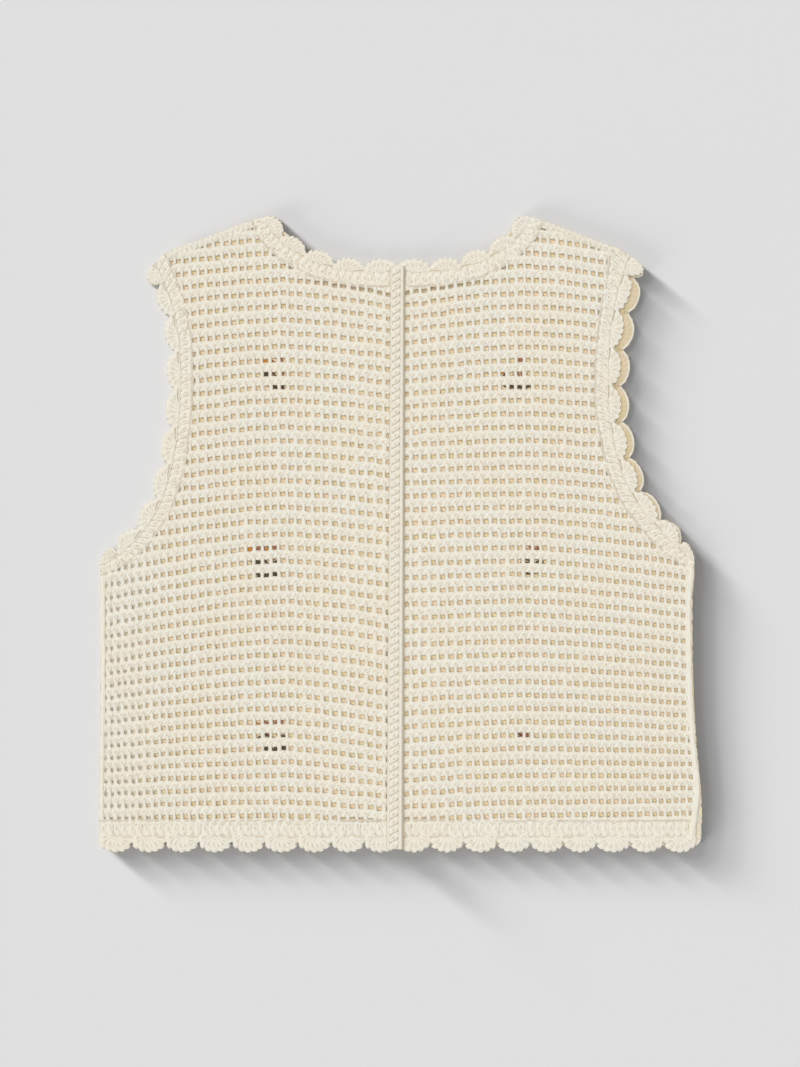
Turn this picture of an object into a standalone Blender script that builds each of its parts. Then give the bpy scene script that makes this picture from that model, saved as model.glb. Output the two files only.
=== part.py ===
"""Crocheted net vest, laid flat on its front with its back up.

Metres, +Z up from the surface it lies on, +Y towards the neck, +X to the right
as seen from above. The front is the lower layer. The two back panels lie on it,
edged at the neck, armholes and hem with scalloped bands of shell stitch, and
joined down the middle by a raised ridge.
"""

import math
from collections import namedtuple

import bpy
from mathutils import Vector
from mathutils.geometry import intersect_line_line_2d

MM = 0.001

# Layers, from the surface up
GAP = 0.3 * MM                   # between neighbouring pieces
FRONT_WALL = 2.4 * MM
BACK_FLOOR = FRONT_WALL + GAP    # underside of everything in the back layer
BACK_WALL = 1.9 * MM             # the net between two bars
BAR_RISE = 1.3 * MM              # a bar of the net over that wall
CREST = BACK_FLOOR + BACK_WALL + BAR_RISE

# Net
ROW_PITCH = 10.72 * MM
TOP_BAR = 239.8 * MM             # the middle of the highest bar, at its crest
ROWS = 45
BAR_HALF = 1.9 * MM              # half of a bar's flat top, up the panel
NET_COLUMNS = 6                  # straight stretches in which a bar follows its arch
SHEET_PAST_SIDE = 15 * MM        # uncut net past a panel's outer and inner edges
SHEET_PAST_AXIS = 5 * MM

# Places that the whole vest is set out from
AXIS_X = -2.6 * MM               # the centre back line
HEM_Y = -232.5 * MM              # where the net ends and the hem's edging begins
SHOULDER_SEAM = 6.0 * MM         # width of the rolled seam along a shoulder
SIDE_SEAM = 5.2 * MM
SEAM_TOP = (0.28, 0.72)          # where a seam's flat top lies, as shares of its width
SEAM_STATIONS = {"shoulder": 8, "side": 20}
PAST_THE_VEST = 300 * MM         # half length of a cutting line, longer than any edge

# Edgings: a band of tall stitches, a groove, and shells
NECK_EDGING = 19.4 * MM
ARMHOLE_EDGING = 18.4 * MM
HEM_EDGING = 23.45 * MM
FRONT_HEM_EDGING = 21.0 * MM
NOTCH_DEPTH = 6.4 * MM           # from a shell's tip down to the notch beside it
NECK_SHELLS = 5                  # along half of the neckline
ARMHOLE_SHELLS = 9.2
HEM_SHELLS = 9
NECK_START = 0.5                 # the part of a shell's turn at which an edging begins
ARMHOLE_START = 0.4
STATIONS_A_SHELL = 5
FRONT_NECK_DROP = 14.0 * MM      # the front neckline is this much lower
TIP_REACH = {                    # of an armhole's edging along the shoulder, to its tip
    "left": (-14.0 * MM, -14.5 * MM),
    "right": (25.5 * MM, -16.0 * MM),
    "right_front": (20.5 * MM, -14.0 * MM),
}
UNDERARM_REACH = (0.0, 15.5 * MM)

# An edging's top in the back layer, from the net out: share of the width, height over its floor
EdgingPoint = namedtuple("EdgingPoint", "share height")
EDGING_PROFILE = [
    EdgingPoint(0.0, 2.2),
    EdgingPoint(0.18, 3.2),
    EdgingPoint(0.42, 3.0),
    EdgingPoint(0.52, 2.0),
    EdgingPoint(0.68, 3.1),
    EdgingPoint(1.0, 1.6),
]

# Ridge down the centre back
RIDGE_TOP_Y = 213.0 * MM
RIDGE_END_Y = -253.0 * MM
RIDGE_TOP_X = -2.4 * MM
RIDGE_END_X = -4.6 * MM
RIDGE_TOP_WIDTH = 10.4 * MM
RIDGE_END_WIDTH = 12.4 * MM
BRAID_RISE = 0.5 * MM            # each braided stitch over the next
RIDGE_STITCHES_A_ROW = 1.5
RIDGE_END_HEIGHT = 0.55          # of the ridge's full height, where it starts and ends

# The ridge's section: share of its half width, height, and whether it follows the braid
RidgePoint = namedtuple("RidgePoint", "share height braided")
RIDGE_PROFILE = [
    RidgePoint(-1.0, 0.0, 0),
    RidgePoint(1.0, 0.0, 0),
    RidgePoint(1.0, 1.8, 0),
    RidgePoint(0.72, 3.9, 1),
    RidgePoint(0.2, 3.9, 1),
    RidgePoint(0.0, 3.0, 1),
    RidgePoint(-0.35, 3.6, 1),
    RidgePoint(-1.0, 1.2, 0),
]

CURVE_STEP = 5.0 * MM            # length of a straight stretch in a curved outline
SHARPEST_MITRE = 0.4             # least cosine that a corner is drawn in by
FLAT_ANGLE = 0.05                # degrees under which faces are merged
SMOOTH_ANGLE = 35                # degrees under which an edge is shaded round

# Half of the neckline of the back, from the centre out
NeckPoint = namedtuple("NeckPoint", "from_axis y")
NECK = [
    NeckPoint(0, 199.6),
    NeckPoint(30, 199.8),
    NeckPoint(50, 202.3),
    NeckPoint(72, 209.3),
    NeckPoint(90, 219.0),
    NeckPoint(104.5, 231.5),
    NeckPoint(112, 243.0),
    NeckPoint(115, 252.0),
    NeckPoint(116.5, 262.0),
]

# Where the net ends at the armholes, from the shoulder down; the front's left is the back's
ArmholePoint = namedtuple("ArmholePoint", "y left right right_front")
ARMHOLE = [
    ArmholePoint(240, 196, 176, 181),
    ArmholePoint(219, 187, 172.5, 179),
    ArmholePoint(202, 179, 169.5, 177.5),
    ArmholePoint(186, 173.5, 166.5, 175.5),
    ArmholePoint(158, 167.5, 162, 171),
    ArmholePoint(125, 166, 160.5, 167.7),
    ArmholePoint(98, 167, 161, 168),
    ArmholePoint(73, 169.5, 165, 171.5),
    ArmholePoint(48, 174, 171.5, 177.5),
    ArmholePoint(26, 180.5, 181, 186),
    ArmholePoint(8, 189.5, 194, 198),
    ArmholePoint(-10, 203, 211, 213.5),
    ArmholePoint(-25, 221, 230, 231),
    ArmholePoint(-35, 244, 250, 250),
]

# The rolled top of a shoulder, from the neck out
ShoulderPoint = namedtuple("ShoulderPoint", "from_axis y")
SHOULDER = [
    ShoulderPoint(90, 259.0),
    ShoulderPoint(101, 255.4),
    ShoulderPoint(116, 250.0),
    ShoulderPoint(149, 237.6),
    ShoulderPoint(184, 224.0),
    ShoulderPoint(198, 212.6),
    ShoulderPoint(206, 205.0),
]

# Outer edge of the side seams and, at the right, of the front under them
SidePoint = namedtuple("SidePoint", "y left right right_front")
SIDE = [
    SidePoint(10, 238.2, 238.4, 238.8),
    SidePoint(-24, 237.8, 238.0, 238.4),
    SidePoint(-54, 237.2, 235.8, 236.4),
    SidePoint(-94, 237.2, 235.8, 236.4),
    SidePoint(-134, 237.4, 236.6, 237.4),
    SidePoint(-174, 237.8, 239.4, 240.0),
    SidePoint(-206, 238.4, 242.4, 243.0),
    SidePoint(-232, 238.5, 239.4, 243.8),
    SidePoint(-262, 238.5, 236.0, 243.9),
]

# How far a bar falls from the crest of its arch, at the side seam and the centre
ArchPoint = namedtuple("ArchPoint", "y left_side left_centre right_centre right_side")
ARCH = [
    ArchPoint(225, 16, 11, 14, 22),
    ArchPoint(165, 16, 9, 9, 16),
    ArchPoint(101, 19, 8, 6, 12),
    ArchPoint(36, 16, 7, 2, 13),
    ArchPoint(-27, 21, 9, 3, 14),
    ArchPoint(-90, 17, 11, 3, 10),
    ArchPoint(-156, 10, 12, 5, 5),
    ArchPoint(-221, 3, 6, 4, -2),
]
CREST_FROM_AXIS = {"left": 92 * MM, "right": 101 * MM}
SIDE_FROM_AXIS = 237 * MM
ARCH_POWER = 1.5

SIGN = {"left": -1, "right": 1}
FRONT_COLUMN = {"left": "left", "right": "right_front"}


# Curves in the plane, as lists of 2-D vectors


def smooth(points, step=CURVE_STEP):
    """A Catmull-Rom curve through the points, in straight stretches of about step."""
    ends = [2 * points[0] - points[1]] + points + [2 * points[-1] - points[-2]]
    out = [points[0]]
    for before, start, end, after in zip(ends, ends[1:], ends[2:], ends[3:]):
        count = max(1, round((end - start).length / step))
        for k in range(1, count + 1):
            t = k / count
            linear = (end - before) * t
            square = (2 * before - 5 * start + 4 * end - after) * t**2
            cube = (3 * start - before - 3 * end + after) * t**3
            out.append(start + (linear + square + cube) / 2)
    return out


def half_curve(table, side, column="from_axis", inset=0.0, step=CURVE_STEP):
    """The curve of a table's column on the left or right of the axis."""
    points = []
    for row in table:
        reach = getattr(row, column) * MM - inset
        points.append(Vector((AXIS_X + SIGN[side] * reach, row.y * MM)))
    return smooth(points, step)


def side_curve(side, column, inset=0.0):
    """A side's line from the armhole down to the hem."""
    return half_curve(SIDE, side, column, inset, 2 * CURVE_STEP)


def across(curve, k):
    """Unit vector to the left of the curve's direction at its point k."""
    ahead = curve[min(k + 1, len(curve) - 1)] - curve[max(k - 1, 0)]
    return Vector((-ahead.y, ahead.x)).normalized()


def shifted(curve, amount):
    """The curve moved to its left."""
    return [p + across(curve, k) * amount for k, p in enumerate(curve)]


def crossing(first, second):
    """Stretch numbers on both curves, and the point, where they first cross."""
    for i in range(len(first) - 1):
        for j in range(len(second) - 1):
            hit = intersect_line_line_2d(first[i], first[i + 1], second[j], second[j + 1])
            if hit:
                return i, j, hit
    raise ValueError("these curves don't cross")


def between(curve, start, end):
    """The part of a curve from where it crosses one curve to where it crosses another."""
    i, _, first = crossing(curve, start)
    j, _, last = crossing(curve, end)
    if i <= j:
        return [first] + curve[i + 1 : j + 1] + [last]
    return [first] + curve[i:j:-1] + [last]


def outline(curves):
    """Closed outline along each curve in turn, from crossing to crossing."""
    points = []
    for before, curve, after in zip([curves[-1]] + curves, curves, curves[1:] + curves[:1]):
        points += between(curve, before, after)[:-1]
    area = sum(a.cross(b) for a, b in zip(points, points[1:] + points[:1]))
    return points if area > 0 else points[::-1]


def inset(points, amount):
    """A closed outline drawn in by an amount, with mitred corners."""
    out = []
    for before, here, after in zip([points[-1]] + points, points, points[1:] + points[:1]):
        one = (here - before).normalized()
        two = (after - here).normalized()
        normal = Vector((-one.y - two.y, one.x + two.x)).normalized()
        cosine = normal.dot(Vector((-one.y, one.x)))
        out.append(here + normal * amount / max(SHARPEST_MITRE, cosine))
    return out


def spaced(curve, fractions, trim=0.0):
    """Points of a curve at fractions of its length, which is first trimmed at both ends."""
    lengths = [0.0]
    for a, b in zip(curve, curve[1:]):
        lengths.append(lengths[-1] + (b - a).length)
    out = []
    k = 0
    for fraction in fractions:
        want = trim + fraction * (lengths[-1] - 2 * trim)
        while k < len(curve) - 2 and lengths[k + 1] < want:
            k += 1
        out.append(curve[k].lerp(curve[k + 1], (want - lengths[k]) / (lengths[k + 1] - lengths[k])))
    return out


# The vest's own curves, each from top to bottom or from the centre out


def line_across(y):
    return [Vector((-PAST_THE_VEST, y)), Vector((PAST_THE_VEST, y))]


def axis_line(side):
    x = AXIS_X + SIGN[side] * GAP / 2
    return [Vector((x, PAST_THE_VEST)), Vector((x, -PAST_THE_VEST))]


def neck_line(side):
    return half_curve(NECK, side)


def front_neck_line():
    """The whole neckline of the back from left to right, lowered towards its middle."""
    reach = NECK[-2].from_axis
    points = []
    for sign, table in ((-1, NECK[:0:-1]), (1, NECK)):
        for row in table:
            drop = FRONT_NECK_DROP * max(0, 1 - (row.from_axis / reach) ** 2)
            points.append(Vector((AXIS_X + sign * row.from_axis * MM, row.y * MM - drop)))
    return smooth(points)


def armhole_line(side):
    return half_curve(ARMHOLE, side, side)


def front_armhole_line(side):
    return half_curve(ARMHOLE, side, FRONT_COLUMN[side])


def shoulder_line(side, inset_by=0.0):
    return shifted(half_curve(SHOULDER, side), -inset_by * SIGN[side])


# Solids


def paint(item, name, colour):
    material = bpy.data.materials.new(name)
    material.use_nodes = True
    shader = material.node_tree.nodes["Principled BSDF"]
    shader.inputs["Base Color"].default_value = (*colour, 1)
    shader.inputs["Roughness"].default_value = 0.9
    shader.inputs["Metallic"].default_value = 0.0
    item.data.materials.append(material)


def add_object(name, vertices, faces):
    mesh = bpy.data.meshes.new(name)
    mesh.from_pydata([tuple(v) for v in vertices], [], faces)
    mesh.validate()
    item = bpy.data.objects.new(name, mesh)
    bpy.context.scene.collection.objects.link(item)
    return item


def finish(item, colour):
    """Point the faces out, shade the round parts smooth and give the cotton's colour."""
    select_only(item)
    bpy.ops.object.mode_set(mode="EDIT")
    bpy.ops.mesh.select_all(action="SELECT")
    bpy.ops.mesh.normals_make_consistent(inside=False)
    bpy.ops.object.mode_set(mode="OBJECT")
    item.data.shade_smooth()
    item.data.set_sharp_from_angle(angle=math.radians(SMOOTH_ANGLE))
    paint(item, item.name, colour)


def select_only(item):
    bpy.ops.object.select_all(action="DESELECT")
    item.select_set(True)
    bpy.context.view_layer.objects.active = item


def loft(name, rings):
    """One closed body through rings of equal length, with a cap at each end."""
    size = len(rings[0])
    vertices = [v for ring in rings for v in ring]
    faces = []
    for r in range(len(rings) - 1):
        for k in range(size):
            after = (k + 1) % size
            low, high = r * size, (r + 1) * size
            faces.append((low + k, low + after, high + after, high + k))
    faces.append(tuple(range(size)))
    faces.append(tuple(range(len(vertices) - size, len(vertices))))
    return add_object(name, vertices, faces)


def prism(name, points, low, high):
    """An outline's upright solid."""
    return loft(name, [[(p.x, p.y, z) for p in points] for z in (low, high)])


# Net of the back: bars that follow the arch of each row


def arch_drop(x, y):
    """How far a bar that crests at height y has fallen at x."""
    side = "left" if x < AXIS_X else "right"
    rows = [(row.y * MM, row) for row in ARCH]
    for (high, above), (low, below) in zip(rows, rows[1:]):
        if y >= low:
            break
    share = min(1.0, max(0.0, (high - y) / (high - low)))
    at = {}
    for place in ("side", "centre"):
        column = f"{side}_{place}"
        at[place] = getattr(above, column) * (1 - share) + getattr(below, column) * share
    crest = CREST_FROM_AXIS[side]
    away = abs(x - AXIS_X) - crest
    if away > 0:
        return at["side"] * MM * (away / (SIDE_FROM_AXIS - crest)) ** ARCH_POWER
    return at["centre"] * MM * (-away / crest) ** ARCH_POWER


def net_sheet(side):
    """A sheet past every edge of a back panel, with a raised bar for each row."""
    reach = SIDE_FROM_AXIS + SHEET_PAST_SIDE
    offsets = [reach * k / NET_COLUMNS for k in range(1, NET_COLUMNS + 1)]
    xs = [AXIS_X + SIGN[side] * offset for offset in [-SHEET_PAST_AXIS] + offsets]
    valley = CREST - BAR_RISE
    heights = []
    for row in range(-1, ROWS + 1):
        bar = TOP_BAR - row * ROW_PITCH
        heights.append((bar + BAR_HALF, CREST))
        heights.append((bar - BAR_HALF, CREST))
        heights.append((bar - ROW_PITCH / 2, valley))
    heights = [pair for pair in heights if pair[0] > HEM_Y - ROW_PITCH]
    vertices = []
    for crest_y, z in heights:
        ys = [crest_y - arch_drop(x, crest_y) for x in xs]
        vertices += [(x, y, z) for x, y in zip(xs, ys)]
        vertices += [(x, y, BACK_FLOOR) for x, y in zip(xs, ys)]
    wide = len(xs)
    faces = []
    for r in range(len(heights) - 1):
        here, below = 2 * wide * r, 2 * wide * (r + 1)
        for k in range(wide - 1):
            for layer in (0, wide):
                a, b = here + layer + k, below + layer + k
                faces.append((a, a + 1, b + 1, b))
        for k in (0, wide - 1):
            faces.append((here + k, below + k, below + wide + k, here + wide + k))
    for end in (0, 2 * wide * (len(heights) - 1)):
        for k in range(end, end + wide - 1):
            faces.append((k, k + 1, k + wide + 1, k + wide))
    return add_object(f"back_{side}", vertices, faces)


def back_panel(side):
    """The net sheet cut to the panel's outline."""
    panel = net_sheet(side)
    edges = outline(
        [
            line_across(HEM_Y),
            side_curve(side, side, SIDE_SEAM),
            armhole_line(side),
            shoulder_line(side, SHOULDER_SEAM),
            neck_line(side),
            axis_line(side),
        ]
    )
    cutter = prism(f"cutter_{side}", inset(edges, GAP), 0.0, 2 * CREST)
    cutter.hide_render = True
    cutter.display_type = "WIRE"
    finish(panel, YARN)
    finish(cutter, YARN)
    cut = panel.modifiers.new("outline", "BOOLEAN")
    cut.operation = "INTERSECT"
    cut.solver = "EXACT"
    cut.object = cutter
    flat = panel.modifiers.new("plain_inside", "DECIMATE")
    flat.decimate_type = "DISSOLVE"
    flat.angle_limit = math.radians(FLAT_ANGLE)
    return panel


def front_panel():
    """The front in one plain layer, under everything else."""
    edges = outline(
        [
            line_across(HEM_Y),
            side_curve("right", FRONT_COLUMN["right"]),
            front_armhole_line("right"),
            shoulder_line("right"),
            front_neck_line(),
            shoulder_line("left"),
            front_armhole_line("left"),
            side_curve("left", FRONT_COLUMN["left"]),
        ]
    )
    return prism("front", inset(edges, GAP), 0.0, FRONT_WALL)


# Seams: rolled strips between two curves


def seam(name, outer, inner, ends):
    """A low rolled strip between two curves, in the back layer."""
    count = SEAM_STATIONS[name.split("_")[0]]
    fractions = [k / count for k in range(count + 1)]
    outside = spaced(between(outer, *ends), fractions, GAP)
    inside = spaced(between(inner, *ends), fractions, GAP)
    near_top, far_top = SEAM_TOP
    edge_z = BACK_FLOOR + BACK_WALL
    profile = [(0.0, BACK_FLOOR), (1.0, BACK_FLOOR), (1.0, edge_z), (far_top, CREST)]
    profile += [(near_top, CREST), (0.0, edge_z)]
    rings = []
    for far, near in zip(outside, inside):
        places = [(far.lerp(near, share), z) for share, z in profile]
        rings.append([(p.x, p.y, z) for p, z in places])
    return loft(name, rings)


# Edgings


def shell_reach(turn):
    """How much of the notch's depth the edge has climbed at this part of a shell's turn."""
    return (1 - (2 * (turn % 1) - 1) ** 2) ** 0.5


def edging(name, net_edge, width, shells, first=0.0, back=True, ends=(None, None)):
    """A scalloped band along the net's edge: tall stitches, a groove and a row of shells."""
    if back:
        profile = [(point.share, BACK_FLOOR + point.height * MM) for point in EDGING_PROFILE]
        profile += [(1.0, BACK_FLOOR), (0.0, BACK_FLOOR)]
    else:
        profile = [(0.0, FRONT_WALL), (1.0, FRONT_WALL), (1.0, 0.0), (0.0, 0.0)]
    count = round(shells * STATIONS_A_SHELL)
    path = spaced(net_edge, [k / count for k in range(count + 1)], GAP / 2)
    facing = OPEN_SIDE[name.split("_")[0]](path[count // 2])
    outwards = 1 if across(path, count // 2).dot(facing) > 0 else -1
    rings = []
    for k, foot in enumerate(path):
        tip = width - NOTCH_DEPTH * (1 - shell_reach(first + shells * k / count))
        reach = across(path, k) * outwards * tip
        for end, distance in zip(ends, (k, count - k)):
            if end and distance < STATIONS_A_SHELL:
                reach = Vector(end).lerp(reach, distance / STATIONS_A_SHELL)
        rings.append([(*(foot + reach * share), z) for share, z in profile])
    return loft(name, rings)


# Which way an edging faces, from the middle of its path
OPEN_SIDE = {
    "neck": lambda middle: Vector((0, 1)),
    "armhole": lambda middle: Vector((1 if middle.x > AXIS_X else -1, 0)),
    "hem": lambda middle: Vector((0, -1)),
}


def neck_edgings():
    pieces = []
    for side in SIGN:
        path = between(neck_line(side), axis_line(side), shoulder_line(side))
        pieces.append(edging(f"neck_edging_{side}", path, NECK_EDGING, NECK_SHELLS))
    path = between(front_neck_line(), shoulder_line("left"), shoulder_line("right"))
    shells = 2 * NECK_SHELLS
    pieces.append(edging("neck_edging_front", path, NECK_EDGING, shells, NECK_START, False))
    return pieces


def armhole_edgings():
    """From the shoulder's tip, where an end leans along the shoulder, to the underarm."""
    pieces = []
    for side in SIGN:
        ends = (TIP_REACH[side], UNDERARM_REACH)
        path = between(armhole_line(side), shoulder_line(side), side_curve(side, side))
        name = f"armhole_edging_{side}"
        shells = (ARMHOLE_SHELLS, ARMHOLE_START)
        pieces.append(edging(name, path, ARMHOLE_EDGING, *shells, True, ends))
        below = side_curve(side, FRONT_COLUMN[side])
        path = between(front_armhole_line(side), shoulder_line(side), below)
        name = f"armhole_edging_front_{side}"
        ends = (TIP_REACH[FRONT_COLUMN[side]], UNDERARM_REACH)
        pieces.append(edging(name, path, ARMHOLE_EDGING, *shells, False, ends))
    return pieces


def hem_edgings():
    pieces = []
    for side in SIGN:
        path = between(line_across(HEM_Y), axis_line(side), side_curve(side, side))
        pieces.append(edging(f"hem_edging_{side}", path, HEM_EDGING, HEM_SHELLS))
    ends = [side_curve(side, FRONT_COLUMN[side]) for side in SIGN]
    path = between(line_across(HEM_Y), *ends)
    pieces.append(edging("hem_edging_front", path, FRONT_HEM_EDGING, 2 * HEM_SHELLS, 0.0, False))
    return pieces


def ridge():
    """The crocheted joining ridge: an edge strand, a braid and a rolled edge."""
    count = round((RIDGE_TOP_Y - RIDGE_END_Y) / ROW_PITCH * RIDGE_STITCHES_A_ROW)
    base = CREST + GAP
    rings = []
    for k in range(count + 1):
        t = k / count
        y = RIDGE_TOP_Y + (RIDGE_END_Y - RIDGE_TOP_Y) * t
        x = RIDGE_TOP_X + (RIDGE_END_X - RIDGE_TOP_X) * t
        half = (RIDGE_TOP_WIDTH + (RIDGE_END_WIDTH - RIDGE_TOP_WIDTH) * t) / 2
        end = RIDGE_END_HEIGHT if k in (0, count) else 1.0
        ring = []
        for point in RIDGE_PROFILE:
            rise = point.height * MM - BRAID_RISE * (k % 2) * point.braided
            ring.append((x + half * point.share, y, base + rise * end))
        rings.append(ring)
    return loft("centre_back_ridge", rings)


def seams():
    pieces = []
    for side in SIGN:
        shoulder_ends = (neck_line(side), armhole_line(side))
        outer, inner = shoulder_line(side), shoulder_line(side, SHOULDER_SEAM)
        pieces.append(seam(f"shoulder_seam_{side}", outer, inner, shoulder_ends))
        side_ends = (armhole_line(side), line_across(HEM_Y))
        outer, inner = side_curve(side, side), side_curve(side, side, SIDE_SEAM)
        pieces.append(seam(f"side_seam_{side}", outer, inner, side_ends))
    return pieces


YARN = (0.80, 0.76, 0.66)
YARN_BELOW = (0.72, 0.62, 0.49)
RIDGE_YARN = (0.84, 0.80, 0.70)


def main():
    for item in list(bpy.data.objects):
        bpy.data.objects.remove(item)
    for side in SIGN:
        back_panel(side)
    finish(front_panel(), YARN_BELOW)
    finish(ridge(), RIDGE_YARN)
    for piece in neck_edgings() + armhole_edgings() + hem_edgings() + seams():
        finish(piece, YARN_BELOW if "front" in piece.name else YARN)


main()
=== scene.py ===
# %% [markdown]
# # A crocheted net vest, laid flat with its back up
#
# This lesson dresses a plain model of a sleeveless crocheted vest. The plain model holds the true outline
# and thickness of each panel. Here every panel becomes rows of real stitches: strands of cotton yarn that
# twist round each other, posts between them, and a scalloped edging. The vest lies on a pale table and is
# seen from straight above.

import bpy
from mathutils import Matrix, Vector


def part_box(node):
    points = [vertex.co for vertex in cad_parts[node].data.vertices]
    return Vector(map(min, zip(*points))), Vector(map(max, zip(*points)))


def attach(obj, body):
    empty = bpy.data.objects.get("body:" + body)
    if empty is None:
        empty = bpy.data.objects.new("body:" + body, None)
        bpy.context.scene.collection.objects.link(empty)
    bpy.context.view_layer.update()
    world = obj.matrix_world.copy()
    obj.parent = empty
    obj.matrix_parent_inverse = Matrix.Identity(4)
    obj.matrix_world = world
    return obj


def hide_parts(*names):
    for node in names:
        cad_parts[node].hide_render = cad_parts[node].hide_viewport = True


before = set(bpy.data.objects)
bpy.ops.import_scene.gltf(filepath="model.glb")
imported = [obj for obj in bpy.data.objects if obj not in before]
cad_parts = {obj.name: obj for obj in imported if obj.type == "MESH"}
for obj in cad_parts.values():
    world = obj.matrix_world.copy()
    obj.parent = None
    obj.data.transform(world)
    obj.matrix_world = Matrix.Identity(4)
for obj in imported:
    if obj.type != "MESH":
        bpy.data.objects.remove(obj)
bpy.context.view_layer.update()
print("plain model:", len(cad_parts), "nodes")

# %% [markdown]
# ## Measures
#
# Everything is worked out from a few sizes of the real garment, in millimetres, as a maker would note them:
# how far apart the rows are, how wide a stitch is, and where each edge runs. The tables give the edges by
# their distance from the centre back line, for the left half and the right half.

# %% Measures of the garment
import math
from collections import namedtuple

import bpy
import numpy as np
from mathutils import Vector
from mathutils.bvhtree import BVHTree

MM = 0.001
AXIS_X = -2.6
HEM_Y = -232.5
ROW_PITCH = 10.72
TOP_BAR = 239.8
ROWS = 45
STITCH = 6.6                      # width of one cell of the net
HALF_WIDTH = 246.0                # from the centre back past the side seam
NOTCH_DEPTH = 6.4
NECK_WIDE, ARMHOLE_WIDE = 19.4, 18.4      # the edgings
HEM_WIDE, FRONT_HEM_WIDE = 23.45, 21.0
BASE_SHARE = 0.42                 # of an edging's width, taken by its tall stitches
FRONT_NECK_DROP = 14.0
SHOULDER_SEAM = 6.0
SIGN = {"left": -1, "right": 1}
FRONT_COLUMN = {"left": "left", "right": "right_front"}      # of the tables below
LAYER_MIDDLE = {"front": 1.3, "back": 4.3}

NeckPoint = namedtuple("NeckPoint", "from_axis y")
NECK = [
    NeckPoint(0, 199.6),
    NeckPoint(30, 199.8),
    NeckPoint(50, 202.3),
    NeckPoint(72, 209.3),
    NeckPoint(90, 219.0),
    NeckPoint(104.5, 231.5),
    NeckPoint(112, 243.0),
    NeckPoint(115, 252.0),
    NeckPoint(116.5, 262.0),
]
ArmholePoint = namedtuple("ArmholePoint", "y left right right_front")
ARMHOLE = [
    ArmholePoint(240, 196, 176, 181),
    ArmholePoint(219, 187, 172.5, 179),
    ArmholePoint(202, 179, 169.5, 177.5),
    ArmholePoint(186, 173.5, 166.5, 175.5),
    ArmholePoint(158, 167.5, 162, 171),
    ArmholePoint(125, 166, 160.5, 167.7),
    ArmholePoint(98, 167, 161, 168),
    ArmholePoint(73, 169.5, 165, 171.5),
    ArmholePoint(48, 174, 171.5, 177.5),
    ArmholePoint(26, 180.5, 181, 186),
    ArmholePoint(8, 189.5, 194, 198),
    ArmholePoint(-10, 203, 211, 213.5),
    ArmholePoint(-25, 221, 230, 231),
    ArmholePoint(-35, 244, 250, 250),
]
ShoulderPoint = namedtuple("ShoulderPoint", "from_axis y")
SHOULDER = [
    ShoulderPoint(90, 259.0),
    ShoulderPoint(101, 255.4),
    ShoulderPoint(116, 250.0),
    ShoulderPoint(149, 237.6),
    ShoulderPoint(184, 224.0),
    ShoulderPoint(198, 212.6),
    ShoulderPoint(206, 205.0),
]
SidePoint = namedtuple("SidePoint", "y left right right_front")
SIDE = [
    SidePoint(10, 238.2, 238.4, 238.8),
    SidePoint(-24, 237.8, 238.0, 238.4),
    SidePoint(-54, 237.2, 235.8, 236.4),
    SidePoint(-94, 237.2, 235.8, 236.4),
    SidePoint(-134, 237.4, 236.6, 237.4),
    SidePoint(-174, 237.8, 239.4, 240.0),
    SidePoint(-206, 238.4, 242.4, 243.0),
    SidePoint(-232, 238.5, 239.4, 243.8),
    SidePoint(-262, 238.5, 236.0, 243.9),
]
print("rows of net:", ROWS, "stitch", STITCH, "by", ROW_PITCH, "mm")

# %% [markdown]
# ## Curves of the edges
#
# An edge is drawn as a smooth curve through the points of its table. A Catmull-Rom curve passes through
# every point, so a measured point stays where it was measured. Two edges meet where their curves cross, and
# the stretch between two crossings is the path that an edging or a seam follows.

# %% Curves through the tables
CURVE_STEP = 4.0
PAST = 300.0                      # half the length of a cutting line
PARALLEL = 1e-12                  # stretches that turn from each other by less never cross


def smooth(points):
    """Catmull-Rom curve through the points, in short straight stretches."""
    points = [np.array(p, float) for p in points]
    ends = [2 * points[0] - points[1]] + points + [2 * points[-1] - points[-2]]
    out = [points[0]]
    for before, start, end, after in zip(ends, ends[1:], ends[2:], ends[3:]):
        count = max(1, round(np.linalg.norm(end - start) / CURVE_STEP))
        for k in range(1, count + 1):
            t = k / count
            linear = (end - before) * t
            square = (2 * before - 5 * start + 4 * end - after) * t**2
            cube = (3 * start - before - 3 * end + after) * t**3
            out.append(start + (linear + square + cube) / 2)
    return np.array(out)


def half_curve(table, side, column="from_axis", inset=0.0):
    return smooth([(AXIS_X + SIGN[side] * (getattr(row, column) - inset), row.y) for row in table])


def sideways(curve):
    """Unit vectors to the left of the curve's direction at its points."""
    ahead = np.gradient(curve, axis=0)
    left = np.column_stack([-ahead[:, 1], ahead[:, 0]])
    return left / np.linalg.norm(left, axis=1, keepdims=True)


def crossing(first, second):
    """The stretch of the first curve, and the point, where it first crosses the second."""
    for i, (a, b) in enumerate(zip(first, first[1:])):
        along = b - a
        starts, ahead = second[:-1] - a, np.diff(second, axis=0)
        turn = along[0] * ahead[:, 1] - along[1] * ahead[:, 0]
        turn = np.where(abs(turn) < PARALLEL, PARALLEL, turn)
        t = (starts[:, 0] * ahead[:, 1] - starts[:, 1] * ahead[:, 0]) / turn
        u = (starts[:, 0] * along[1] - starts[:, 1] * along[0]) / turn
        hits = np.flatnonzero((t >= 0) & (t <= 1) & (u >= 0) & (u <= 1))
        if len(hits):
            return i, a + along * t[hits[0]]
    raise ValueError("these curves don't cross")


def between(curve, start, end):
    """The part of a curve from its crossing with one curve to its crossing with another."""
    i, first = crossing(curve, start)
    j, last = crossing(curve, end)
    middle = curve[i + 1 : j + 1] if i <= j else curve[i:j:-1]
    return np.vstack([first, middle, last])


def line_across(y):
    return np.array([(-PAST, y), (PAST, y)])


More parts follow.
